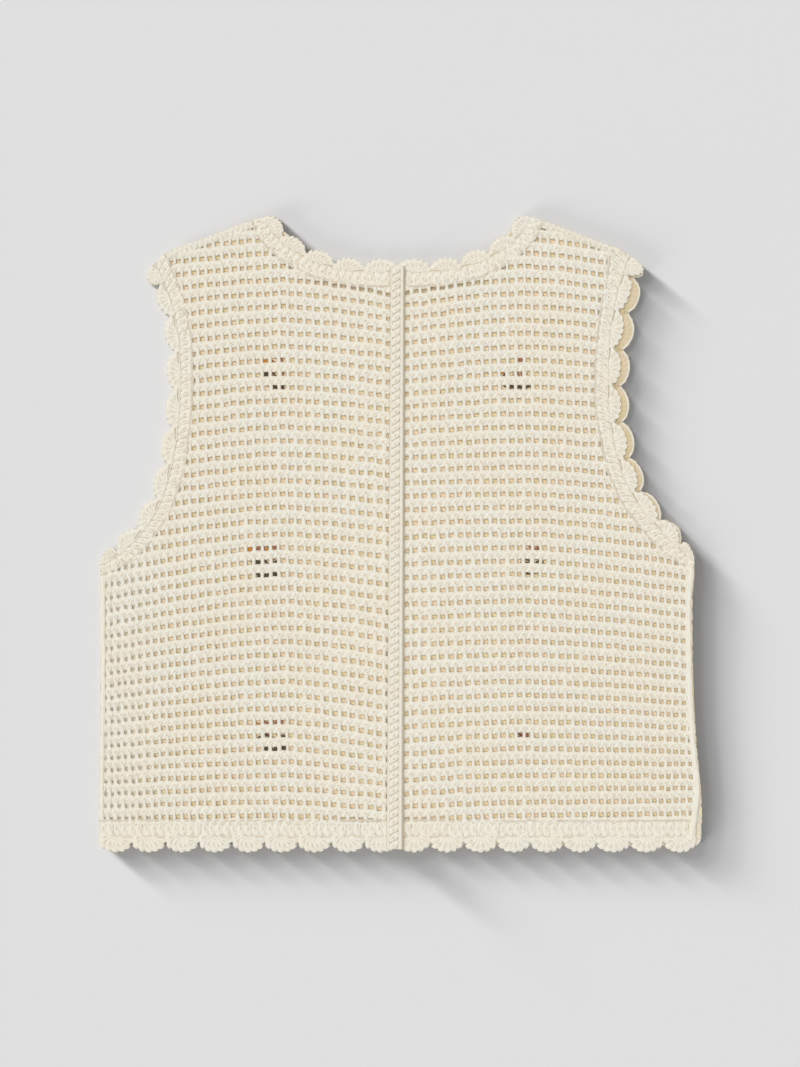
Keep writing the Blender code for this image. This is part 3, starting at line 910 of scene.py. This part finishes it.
def edging(name, path, facing, width, shells, first, layer, ends=(None, None)):
    """So many shells along a path, from this share of the first; ends say where the end stitches reach."""
    length = length_of(path)
    last = first + shells
    turns = [first] + [t for t in range(1, MOST_SHELLS) if first + SLIVER < t < last - SLIVER] + [last]
    place = next(word for word in BASE_LEAN if word in name)
    inside = BASE_START[layer]
    half = (inside + BACKING_INSIDE + width - NOTCH_DEPTH - BACKING_SHORT) / 2
    thick = BACKING_THICK / half
    # the backing and the slit strand are painted with shade where they show between the stitches
    backing = lengthways(length, half, half - inside - BACKING_INSIDE, -BACKING_DROP, thick)
    pieces = [base_row(length, width, BASE_LEAN[place], inside), shaded(backing, BACKING_SHADE)]
    if place == "armhole":
        pieces.append(lengthways(length, CORD_RADIUS, BASE_SHARE * width, CORD_LIFT))
    if layer == "back":
        slit = lengthways(length, SLIT_RADIUS, -inside - SLIT_INSIDE, SLIT_LIFT, SLIT_THICK)
        pieces.append(shaded(slit, SLIT_SHADE))
    for a, b in zip(turns, turns[1:]):
        fan = copied(shell_patterns[width, layer])
        p = points_of(fan)
        start, end = (a - first) / shells * length, (b - first) / shells * length
        p[:, 0] = (start + end) / 2 + p[:, 0] * (end - start) / SHELL
        put_points(fan, p)
        pieces.append(fan)
    seed = round(length * 10)     # so it differs where the length does
    strip = unevened(joined(name, pieces), seed, width, inside)
    if layer == "front":
        moved(strip, thick=FRONT_PRESS)
    middle = len(path) // 2
    outwards = 1 if sideways(path)[middle] @ np.array(facing) > 0 else -1
    return followed(strip, path, outwards, LAYER_MIDDLE[layer], width, ends, length / shells)


print("an edging is made of its rows and its shells")

# %% All the edgings
UP, DOWN = (0, 1), (0, -1)
OUT = {"left": (-1, 0), "right": (1, 0)}
ARMHOLE_SHELLS, ARMHOLE_FIRST = 9.2, 0.4
TIP_REACH = {"left": (-14.0, -14.5), "right": (26.5, -14.5), "right_front": (18.5, -13.0)}
UNDERARM_REACH = (0.0, 15.5)
edgings = {}
for side in SIGN:
    path = between(neck_line[side], AXIS_LINE, shoulder_line[side])
    edgings[f"neck_edging_{side}"] = edging(f"neck_shells_{side}", path, UP, NECK_WIDE, 5, 0.0, "back")
    worked = (OUT[side], ARMHOLE_WIDE, ARMHOLE_SHELLS, ARMHOLE_FIRST)
    path = between(armhole_line[side], shoulder_line[side], side_line[side])
    ends = (TIP_REACH[side], UNDERARM_REACH)
    edgings[f"armhole_edging_{side}"] = edging(f"armhole_shells_{side}", path, *worked, "back", ends)
    path = between(front_armhole_line[side], shoulder_line[side], front_side_line[side])
    ends = (TIP_REACH[FRONT_COLUMN[side]], UNDERARM_REACH)
    lace = edging(f"front_armhole_shells_{side}", path, *worked, "front", ends)
    edgings[f"armhole_edging_front_{side}"] = lace
    path = between(line_across(HEM_Y), AXIS_LINE, side_line[side])
    edgings[f"hem_edging_{side}"] = edging(f"hem_shells_{side}", path, DOWN, HEM_WIDE, 9, 0.0, "back")
path = between(front_neck_line, shoulder_line["left"], shoulder_line["right"])
edgings["neck_edging_front"] = edging("front_neck_shells", path, UP, NECK_WIDE, 10, 0.5, "front")
path = between(line_across(HEM_Y), front_side_line["left"], front_side_line["right"])
edgings["hem_edging_front"] = edging("front_hem_shells", path, DOWN, FRONT_HEM_WIDE, 18, 0.0, "front")
for node, item in edgings.items():
    print(item.name, len(item.data.polygons), "faces")

# %% [markdown]
# ## The ridge down the centre back
#
# The two back panels are crocheted together on the outside, which leaves a raised ridge. It is a chain of
# leaning loops between a thin strand on the left and a smooth roll on the right. One link of each is
# modelled, repeated down the back, and then leaned onto the slightly slanted line of the real ridge.

# %% Links of the ridge
RIDGE_TOP_Y, RIDGE_END_Y = 213.0, -253.0
RIDGE_TOP_X, RIDGE_END_X = -2.4, -4.6
RIDGE_TOP_WIDTH, RIDGE_END_WIDTH = 10.4, 12.4
RIDGE_FLOOR = 6.2
LINK = 6.3
LINK_LOOP = 8.4
LINK_RADIUS = 2.6
LINK_LEAN = -40.0
LINK_X, LINK_Z = 1.7, 2.0
RidgeStrand = namedtuple("RidgeStrand", "radius x z swell flat shade")
RIDGE_STRANDS = [
    RidgeStrand(1.0, -4.4, 1.3, 1.15, 1.0, 0.0),      # the thin strand on the left
    RidgeStrand(3.4, -0.6, 1.0, 1.0, 0.3, 0.45),      # the flat one under the loops, painted with some shade
    RidgeStrand(1.5, 3.7, 2.0, 1.04, 1.0, 0.0),       # the roll on the right
    RidgeStrand(0.65, 5.5, 0.4, 1.0, 1.0, 1.0),       # a dark strand that paints the shade at the roll's foot
]


def ridge_strand(kind, count):
    """A straight strand of so many links that swells in the middle of each."""
    tube = strand(LINK, kind.radius, cuts=2)
    swells = (1, kind.swell, kind.swell, 1)
    shape(tube, LINK, [Ring(k / 3 * LINK, 0, 0, w, w * kind.flat) for k, w in enumerate(swells)])
    placed(tube, -90, kind.x, 0, kind.z)
    return closed_ends(shaded(repeated(tube, count, (0, -LINK, 0), merge=True), kind.shade))


def centre_ridge():
    count = round((RIDGE_TOP_Y - RIDGE_END_Y) / LINK)
    link = plump(LINK_LOOP, LINK_RADIUS, LOOP, groove=LOOP_GROOVE)
    placed(link, -90 + LINK_LEAN, LINK_X, 0, LINK_Z)
    loops = repeated(link, count, (0, -LINK, 0))
    ridge = joined("centre_ridge", [loops] + [ridge_strand(kind, count) for kind in RIDGE_STRANDS])
    p = points_of(ridge)
    t = -p[:, 1] / (count * LINK)
    x = RIDGE_TOP_X + (RIDGE_END_X - RIDGE_TOP_X) * t
    wide = (RIDGE_TOP_WIDTH + (RIDGE_END_WIDTH - RIDGE_TOP_WIDTH) * t) / RIDGE_TOP_WIDTH
    y = RIDGE_TOP_Y + (RIDGE_END_Y - RIDGE_TOP_Y) * t
    put_points(ridge, np.column_stack([x + p[:, 0] * wide, y, RIDGE_FLOOR + p[:, 2]]))
    return ridge


ridge = centre_ridge()
print(ridge.name, len(ridge.data.polygons), "faces")

# %% [markdown]
# ## Shoulder and side seams
#
# The shoulder seams are a thin twisted row of the same yarn. Down each side the edges are rolled in and
# sewn, so the seam is a smooth flat roll, with the front's own edge under it.

# %% Rolled seams
SEAM_STITCH = 4.4
SEAM_HIGH = 0.85                  # a seam's row is this share of a bar's height
ROLL_RADIUS = {"left": 1.8, "right": 2.5}
ROLL_END_Y = {"left": HEM_Y, "right": -246.0}
ROLL_LIFT = {"left": 0.0, "right": 0.6}
FRONT_ROLL_RADIUS = 2.9
ROLL_THICK = {"back": 0.6, "front": 0.62}
FRONT_ROLL_SHADE = 0.6            # the front's roll lies in the shade of the back's


def seam(name, paths):
    """Closed rows or rolls laid along their paths and joined; each path comes with its row and layer."""
    parts = [followed(row, path, 1, LAYER_MIDDLE[layer], 1) for path, row, layer in paths]
    return joined(name, parts)


def bar_row(length):
    """A stretch of bar, pressed together to the seam's stitches."""
    count = max(1, round(length / SEAM_STITCH))
    row = closed_ends(repeated(copied(bar), count, (STITCH, 0, 0), merge=True))
    return moved(stretched(row, count * STITCH, length), high=SEAM_HIGH)


def side_row(path, radius, layer):
    length = length_of(path)
    roll = lengthways(length, radius, thick=ROLL_THICK[layer])
    return unevened(roll, round(length), 2 * UNEVEN_STEP, UNEVEN_STEP)


seams = {}
for side in SIGN:
    path = between(shoulder_line[side], neck_line[side], armhole_line[side])
    inner = path - sideways(path) * SIGN[side] * SHOULDER_SEAM / 2
    row = bar_row(length_of(inner))
    seams[f"shoulder_seam_{side}"] = seam(f"shoulder_roll_{side}", [(inner, row, "back")])
    radius = ROLL_RADIUS[side]
    end = line_across(ROLL_END_Y[side])
    path = between(half_curve(SIDE, side, side, radius), armhole_line[side], end)
    under = half_curve(SIDE, side, FRONT_COLUMN[side], FRONT_ROLL_RADIUS)
    under = between(under, front_armhole_line[side], line_across(HEM_Y))
    over_roll = moved(side_row(path, radius, "back"), z=ROLL_LIFT[side])
    under_roll = shaded(side_row(under, FRONT_ROLL_RADIUS, "front"), FRONT_ROLL_SHADE)
    paths = [(path, over_roll, "back"), (under, under_roll, "front")]
    seams[f"side_seam_{side}"] = seam(f"side_roll_{side}", paths)
for node, item in seams.items():
    print(item.name, len(item.data.polygons), "faces")

# %% [markdown]
# ## Embroidered flowers
#
# The front carries six small embroidered flowers, and their threads show through the back's holes. Each
# is a plain flower of five petals with a yellow centre and bud, a stem and four leaves, worked in satin
# stitch: threads that lie side by side. Such a stitch goes round the cloth, so the threads lie on the inner
# side too. Each thread is a closed strand of its own length, and one finished flower is copied to six
# places.

# %% Threads laid side by side
Flower = namedtuple("Flower", "x y size turn")
FLOWERS = [
    Flower(-106.4, -21.4, 1.0, 0),
    Flower(-99.0, 127.0, 0.8, -14),
    Flower(-102.0, -162.0, 1.0, 6),
    Flower(96.0, 122.5, 1.05, 4),
    Flower(106.0, -21.6, 0.8, 8),
    Flower(99.0, -163.0, 0.55, -8),
]
BLOSSOM_Y = 7.5                   # the blossom's middle above the flower's
PETAL_ROOT, PETAL_TIP = 1.6, 10.0
PETAL_COUNT = 5
STEM_END = (0.8, -15.0)
THREAD = 1.15                     # from one thread to the next
THREAD_RADIUS = 0.72
THREAD_END, THREAD_MIDDLE = Section(0, 0, 0.6, 0.4), Section(0, 0.1, 1, 0.55)
ROOT_CLOSER = 0.6                 # threads lie closer at a patch's root than at its tip
BELLY = 0.55                      # each thread off the middle ends this much earlier
OUTER_Z, INNER_Z = 0.42, 2.75
Leaf = namedtuple("Leaf", "y turn length")
LEAVES = [Leaf(-5.5, 14, 11.0), Leaf(-5.5, 165, 14.0), Leaf(-13.0, 10, 11.0), Leaf(-13.0, 168, 9.5)]
BUD = (-13.0, 5.0)
BUD_LENGTH = 6.5
BUD_BELLY = 0.3
BUD_PLACES = (-2.5, -1.5, -0.5, 0.5, 1.5, 2.5)
PLACES = (-2, -1, 0, 1, 2)
PAIR = (-0.5, 0.5)
KNOT_TURNS, KNOT_REACH, KNOT_RADIUS = (15, 75, 135), 1.7, 0.9


def thread(start, end, z, radius=THREAD_RADIUS):
    reach = np.array(end) - np.array(start)
    length = float(np.linalg.norm(reach))
    line = plump(length, radius, [THREAD_END, THREAD_MIDDLE, THREAD_MIDDLE, THREAD_END], sides=5)
    return placed(line, math.degrees(math.atan2(reach[1], reach[0])), start[0], start[1], z)


def satin(root, tip, places, z, belly=BELLY):
    """A pointed patch of threads from root to tip; each place is a number of threads off its middle."""
    root, tip = np.array(root), np.array(tip)
    along = (tip - root) / np.linalg.norm(tip - root)
    across = np.array([-along[1], along[0]])
    threads = []
    for place in places:
        trim = along * abs(place) * belly
        shift = across * place * THREAD
        threads.append(thread(root + trim + shift * ROOT_CLOSER, tip - trim + shift, z))
    return threads


def blossom(z):
    petals = []
    for k in range(PETAL_COUNT):
        turn = math.radians(90 + k * 360 / PETAL_COUNT)
        way = np.array([math.cos(turn), math.sin(turn)])
        middle = np.array([0.0, BLOSSOM_Y])
        petals += satin(middle + way * PETAL_ROOT, middle + way * PETAL_TIP, PLACES, z)
    return petals


def blossom_centre(z):
    knots = []
    for turn in np.radians(KNOT_TURNS):
        x, y = KNOT_REACH * math.cos(turn), KNOT_REACH * math.sin(turn)
        knots.append(thread((-x, BLOSSOM_Y - y), (x, BLOSSOM_Y + y), z, KNOT_RADIUS))
    return knots + satin(BUD, (BUD[0], BUD[1] + BUD_LENGTH), BUD_PLACES, z, BUD_BELLY)


def greenery(z):
    fork = (0, BLOSSOM_Y - PETAL_TIP)
    parts = satin(fork, STEM_END, PAIR, z) + satin(fork, BUD, PAIR, z)
    for leaf in LEAVES:
        turn = math.radians(leaf.turn)
        tip = (leaf.length * math.cos(turn), leaf.y + leaf.length * math.sin(turn))
        parts += satin((0, leaf.y), tip, PLACES, z)
    return parts


print("one flower has", len(LEAVES), "leaves and", PETAL_COUNT, "petals")


# %% The flowers in their places
def planted(item, flower):
    """Give a flower its size, turn and place."""
    p = points_of(item)
    p[:, :2] *= flower.size
    put_points(item, p)
    return placed(item, flower.turn, flower.x, flower.y)


embroidery = {
    "blossom_petals": blossom(OUTER_Z) + blossom(INNER_Z),
    "blossom_centres": blossom_centre(OUTER_Z) + blossom_centre(INNER_Z),
    "blossom_leaves": greenery(OUTER_Z) + greenery(INNER_Z),
}
for name, threads in embroidery.items():
    first = joined(name, threads)
    copies = [planted(copied(first), flower) for flower in FLOWERS]
    bpy.data.objects.remove(first)
    embroidery[name] = joined(name, copies)
    print(name, len(embroidery[name].data.polygons), "faces")

# %% [markdown]
# ## Writing shader maths as plain sums
#
# A small class wraps one socket of a node tree. Its operators add Math nodes, so a pattern reads like a
# formula. One method adds any other node.

# %% A socket that can be added and multiplied
class Value:
    tree = None

    def __init__(self, socket):
        self.socket = socket

    @classmethod
    def node(cls, kind, output=0, settings=None, **inputs):
        """Add a node, set it up, feed its sockets, and give one of its outputs."""
        made = cls.tree.nodes.new(kind)
        for key, value in (settings or {}).items():
            setattr(made, key, value)
        for key, value in inputs.items():
            place = int(key[1:]) if key[1:].isdigit() else key.replace("_", " ")
            socket = made.inputs[place]
            if isinstance(value, Value):
                cls.tree.links.new(value.socket, socket)
            else:
                socket.default_value = value
        return cls(made.outputs[output])

    def maths(self, operation, first, second=0.0):
        return self.node("ShaderNodeMath", 0, {"operation": operation}, i0=first, i1=second)

    def __add__(self, other):
        return self.maths("ADD", self, other)

    __radd__ = __add__

    def __sub__(self, other):
        return self.maths("SUBTRACT", self, other)

    def __rsub__(self, other):
        return self.maths("SUBTRACT", other, self)

    def __mul__(self, other):
        return self.maths("MULTIPLY", self, other)

    __rmul__ = __mul__

    def sine(self):
        return self.maths("SINE", self)

    def axis(self, letter):
        """One of the three numbers of a vector."""
        return self.node("ShaderNodeSeparateXYZ", letter, None, Vector=self)

    def feed(self, shader, socket):
        self.tree.links.new(self.socket, shader.inputs[socket])

    def ramp(self, low, high):
        """0 below low, 1 above high, and smooth between them."""
        settings = {"interpolation_type": "SMOOTHSTEP"}
        return self.node("ShaderNodeMapRange", 0, settings, Value=self, From_Min=low, From_Max=high)


def mixed(share, first, second):
    settings = {"data_type": "RGBA"}
    return Value.node("ShaderNodeMix", 2, settings, i0=share, i6=first, i7=second)


def noise(place, scale, detail):
    return Value.node("ShaderNodeTexNoise", "Fac", None, Vector=place, Scale=scale, Detail=detail)


def plies(count, turns):
    """Slanting plies, from the strand's own UV map: 1 along the top of a ply and 0 between two."""
    round_it = Value.node("ShaderNodeTexCoord", "UV")
    slant = round_it.axis("X") * count + round_it.axis("Y") * turns
    return (slant * (2 * math.pi)).sine() * 0.5 + 0.5


def new_material(name, **sockets):
    """A material to which nodes can be added, and its shader with these sockets set."""
    material = bpy.data.materials.new(name)
    material.use_nodes = True
    Value.tree = material.node_tree
    shader = material.node_tree.nodes["Principled BSDF"]
    for socket, value in sockets.items():
        shader.inputs[socket.replace("_", " ")].default_value = value
    return material, shader


print("shader maths is ready")

# %% [markdown]
# ## Cotton yarn
#
# The yarn is matt cotton of several plies. The plies show as slanting grooves, drawn from the strand's own
# UV map, whose U runs round it and whose V runs along it. Shade is painted into the lines between the
# plies, and random patches are a little darker. The inner side of the vest is in deep warm shade: light
# gets there only after many bounces on cream cotton. The faces that look into the vest get that warm shade
# painted into their colour.

# %% The cotton's material
CREAM = (0.88, 0.83, 0.71, 1)
CREAM_COOL = (0.865, 0.84, 0.745, 1)
# painted shade between the plies, and the tone of random darker patches
PLY_SHADE_AND_MOTTLE = (0.76, 0.68, 0.54, 1)
# painted shade for the pressed-in tops of strands and for strands that lie deep between others
DEEP_SHADE = (0.52, 0.41, 0.28, 1)
# painted warm shade for faces that look into the vest, one tone for each kind of piece
INNER_SHADE_NET = (0.93, 0.76, 0.55, 1)
INNER_SHADE_EDGE = (0.73, 0.60, 0.43, 1)
INNER_SHADE_HEM = (0.84, 0.76, 0.62, 1)
INNER_SHADE_BACK = (0.94, 0.80, 0.61, 1)
YELLOWER = (0.95, 0.98, 0.86)     # what the inner colour is multiplied by in places
PALER_FROM_TO = (0.165, 0.235)    # metres left of the centre, where light gets in at the side seam
PALER = 0.6
PLIES = 4
PLY_TURNS = 4.0
SOFT, DRIFT, PATCHY, FIBRE = 22.0, 130.0, 420.0, 1800.0      # scales of patches, per metre
COTTON = {"Roughness": 0.92, "Specular_IOR_Level": 0.25, "Sheen_Weight": 0.12, "Sheen_Roughness": 0.6}


def cotton(name, inner_side, inner, turned=(-0.15, 0.55)):
    """Cream yarn whose faces towards the vest's inner side, turned to it this far, are in warm shade."""
    material, shader = new_material(name, **COTTON)
    place = Value.node("ShaderNodeTexCoord", "Object")
    normal = Value.node("ShaderNodeTexCoord", "Normal")
    ply = plies(PLIES, PLY_TURNS)
    soft = noise(place, SOFT, 2.0)
    patchy = noise(place, PATCHY, 2.0)
    fibre = noise(place, FIBRE, 3.0)
    rim = Value.node("ShaderNodeAttribute", "Fac", {"attribute_name": "rim"})
    groove = Value.node("ShaderNodeAttribute", "Fac", {"attribute_name": "groove"})
    tone = mixed(soft.ramp(0.35, 0.65), CREAM, CREAM_COOL)
    # painted shade in the lines between plies, and random darker patches
    tone = mixed((1 - ply) * 0.3 * (0.5 + fibre) + patchy.ramp(0.45, 0.75) * 0.4, tone, PLY_SHADE_AND_MOTTLE)
    # painted shade, in patches, where the groove attribute marks a pressed-in top or a deep strand
    tone = mixed(groove.ramp(0.35, 1.0) * (patchy * 0.9 + 0.1), tone, DEEP_SHADE)
    # faces turned to the vest's inner side get the painted warm shade; rim strands keep the cream
    facing = (normal.axis("Z") * inner_side).ramp(*turned) * (1 - rim)
    yellower = tuple(c * k for c, k in zip(inner, YELLOWER)) + (1,)
    inner_shade_tone = mixed(noise(place, DRIFT, 1.0).ramp(0.4, 0.6), inner, yellower)
    from_right = place.axis("X") * -1
    inner_shade_tone = mixed(from_right.ramp(*PALER_FROM_TO) * PALER, inner_shade_tone, CREAM)
    tone = mixed(facing, tone, inner_shade_tone)
    tone.feed(shader, "Base Color")
    height = ply * 0.5 + fibre * 0.5 + patchy * 0.5
    bump = Value.node("ShaderNodeBump", "Normal", None, Strength=0.7, Distance=0.0005, Height=height)
    bump.feed(shader, "Normal")
    return material


back_cotton = cotton("cotton_back", -1, INNER_SHADE_BACK, (-0.8, 0.1))
edging_cotton = cotton("cotton_edging", -1, INNER_SHADE_BACK, (-0.6, 0.2))
front_cotton = cotton("cotton_front", 1, INNER_SHADE_NET, (-0.5, 0.3))
front_edge_cotton = cotton("cotton_front_edging", 1, INNER_SHADE_EDGE)
front_hem_cotton = cotton("cotton_front_hem", 1, INNER_SHADE_HEM)
print("materials:", [m.name for m in bpy.data.materials if m.name.startswith("cotton")])

# %% [markdown]
# ## Embroidery thread
#
# The flowers are worked in thread of two plies, a little smoother than the cotton. Shade is painted into
# the lines between its plies, and the green is nearly black. A table holds the two tones of each colour,
# and one function makes the three materials.

# %% The threads' materials
THREAD_PLIES, THREAD_TURNS = 2, 5
THREAD_PATCH = 300.0
Silk = namedtuple("Silk", "name slot light dark")
# each silk's own tone, and a dark one for the painted shade between plies and for random patches
SILKS = {
    "blossom_petals": Silk("silk_red", "embroidery_red", (0.47, 0.19, 0.10, 1), (0.25, 0.09, 0.04, 1)),
    "blossom_centres": Silk(
        "silk_yellow", "embroidery_yellow", (0.72, 0.31, 0.03, 1), (0.45, 0.16, 0.015, 1)
    ),
    "blossom_leaves": Silk(
        "silk_green", "embroidery_green", (0.105, 0.062, 0.022, 1), (0.035, 0.019, 0.008, 1)
    ),
}


def silk(name, light, dark):
    """Twisted thread, with painted shade between its plies, and darker in random patches."""
    material, shader = new_material(name, Roughness=0.55, Sheen_Weight=0.2)
    place = Value.node("ShaderNodeTexCoord", "Object")
    ply = plies(THREAD_PLIES, THREAD_TURNS)
    tone = mixed(ply * 0.6 + noise(place, THREAD_PATCH, 1.0) * 0.4, dark, light)
    tone.feed(shader, "Base Color")
    bump = Value.node("ShaderNodeBump", "Normal", None, Strength=0.5, Distance=0.0002, Height=ply)
    bump.feed(shader, "Normal")
    return material


print("threads:", [kind.name for kind in SILKS.values()])

# %% [markdown]
# ## Give every piece its finish
#
# Each piece is shaded smooth, as yarn is round, but the cut ends of strands stay crisp. It then gets its
# material and the body that it moves with, and the plain nodes that it stands for are hidden. The patterns
# that the pieces were copied from are deleted.

# %% Give every piece its cotton or thread
CRISP = math.radians(80)          # edges sharper than this, such as those of cut ends, stay crisp


def finish_piece(item, material, nodes):
    only(item)
    bpy.ops.object.shade_smooth_by_angle(angle=CRISP)
    item.data.materials.clear()
    item.data.materials.append(material)
    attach(item, "root")
    if nodes:
        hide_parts(*nodes)


for side in SIGN:
    for item in (back_nets[side], back_loops[side]):
        finish_piece(item, back_cotton, [f"back_{side}"])
    for item in (front_nets[side], front_loops[side]):
        finish_piece(item, front_cotton, ["front"])
for node, item in {**edgings, **seams, "centre_back_ridge": ridge}.items():
    front = "front" in node
    material = front_edge_cotton if front else edging_cotton
    finish_piece(item, front_hem_cotton if node == "hem_edging_front" else material, [node])
for name, item in embroidery.items():
    kind = SILKS[name]
    finish_piece(item, silk(kind.name, kind.light, kind.dark), [])
for pattern in [bar, bar_loop, ground, front_loop, front_ground, *shell_patterns.values()]:
    bpy.data.objects.remove(pattern)
print("pieces:", 4 * len(SIGN) + len(edgings) + len(seams) + 1 + len(embroidery))

# %% [markdown]
#
# Each panel is a sheet of crochet. Its flat size is what a maker would block it to, and its area is less,
# because the armholes and the neckline are shaped. Here each half's back and front nets are only picked
# out.

# %% Sheets
for side in SIGN:
    back, front = back_nets[side], front_nets[side]

# %% [markdown]
# ## Table, light and camera
#
# The vest lies on a pale table. Soft lights share the work, as in a studio: the room's own even light, one
# from above that reaches into the holes of the net, one from the upper left that shapes the cotton, and
# four low ones that fall on the table alone. The vest blocks three of those from the upper left, each for a
# different stretch, which gives the long soft shadow at its lower right. The fourth comes from the lower
# left and leaves a faint shade above the neck and the right shoulder. The camera looks straight down.

# %% Table
TABLE_SIZE = 6.0
TABLE_GREY = 0.715
bpy.ops.object.select_all(action="DESELECT")
bpy.ops.mesh.primitive_plane_add(size=TABLE_SIZE, location=(0, 0, 0))
table = bpy.context.object
table.name = "table"
grey = (TABLE_GREY, TABLE_GREY, TABLE_GREY, 1)
paint = {"Base_Color": grey, "Roughness": 0.95, "Specular_IOR_Level": 0.1}
table.data.materials.append(new_material("table_paint", **paint)[0])
print("table:", TABLE_SIZE, "m wide")


# %% Lights
def sun(name, strength, wide, towards, lit=True):
    """A distant light from a direction, as wide as an angle in degrees; lit says if the table gets it."""
    lamp = bpy.data.objects.new(name, bpy.data.lights.new(name, "SUN"))
    lamp.data.energy = strength
    lamp.data.angle = math.radians(wide)
    lamp.rotation_euler = (-Vector(towards)).to_track_quat("-Z", "Y").to_euler()
    bpy.context.scene.collection.objects.link(lamp)
    receivers = bpy.data.collections.new(f"{name}_receivers")
    receivers.objects.link(table)
    receivers.collection_objects[0].light_linking.link_state = "INCLUDE" if lit else "EXCLUDE"
    lamp.light_linking.receiver_collection = receivers
    return lamp


lamps = [
    sun("above", 1.64, 45, (-0.05, 0.05, 1.0), lit=False),
    sun("key", 0.75, 50, (-0.55, 0.50, 0.85), lit=False),
]
LowSun = namedtuple("LowSun", "azimuth height wide strength")
LOW_SUNS = [
    LowSun(141, 5.6, 6, 6.4),
    LowSun(141, 10, 10, 4.0),
    LowSun(141, 20, 20, 1.47),
    LowSun(210, 7, 25, 3.1),
]
for low in LOW_SUNS:
    turn, height = math.radians(low.azimuth), math.radians(low.height)
    flat = math.cos(height)
    towards = (flat * math.cos(turn), flat * math.sin(turn), math.sin(height))
    lamps.append(sun(f"low_{low.azimuth}_{low.height:g}", low.strength, low.wide, towards, lit=True))
ROOM_LIGHT = 0.33
world = bpy.data.worlds.new("studio")
bpy.context.scene.world = world
world.use_nodes = True
room = world.node_tree.nodes["Background"]
room.inputs["Color"].default_value = (1, 1, 1, 1)
room.inputs["Strength"].default_value = ROOM_LIGHT
print("lights:", [lamp.name for lamp in lamps])

# %% Camera
FRAME_HEIGHT = 0.8536             # of the picture, on the vest
LENS, SENSOR = 85.0, 36.0
VEST_HEIGHT = 0.005
CAMERA_X, CAMERA_Y = -0.0004, -0.0008
camera = bpy.data.objects.new("camera", bpy.data.cameras.new("camera"))
camera.data.sensor_fit = "VERTICAL"
camera.data.sensor_height = SENSOR
camera.data.lens = LENS
camera.location = (CAMERA_X, CAMERA_Y, FRAME_HEIGHT * LENS / SENSOR + VEST_HEIGHT)
bpy.context.scene.collection.objects.link(camera)
bpy.context.scene.camera = camera
bpy.context.scene.view_settings.view_transform = "Standard"
print("camera at", [round(c, 4) for c in camera.location])
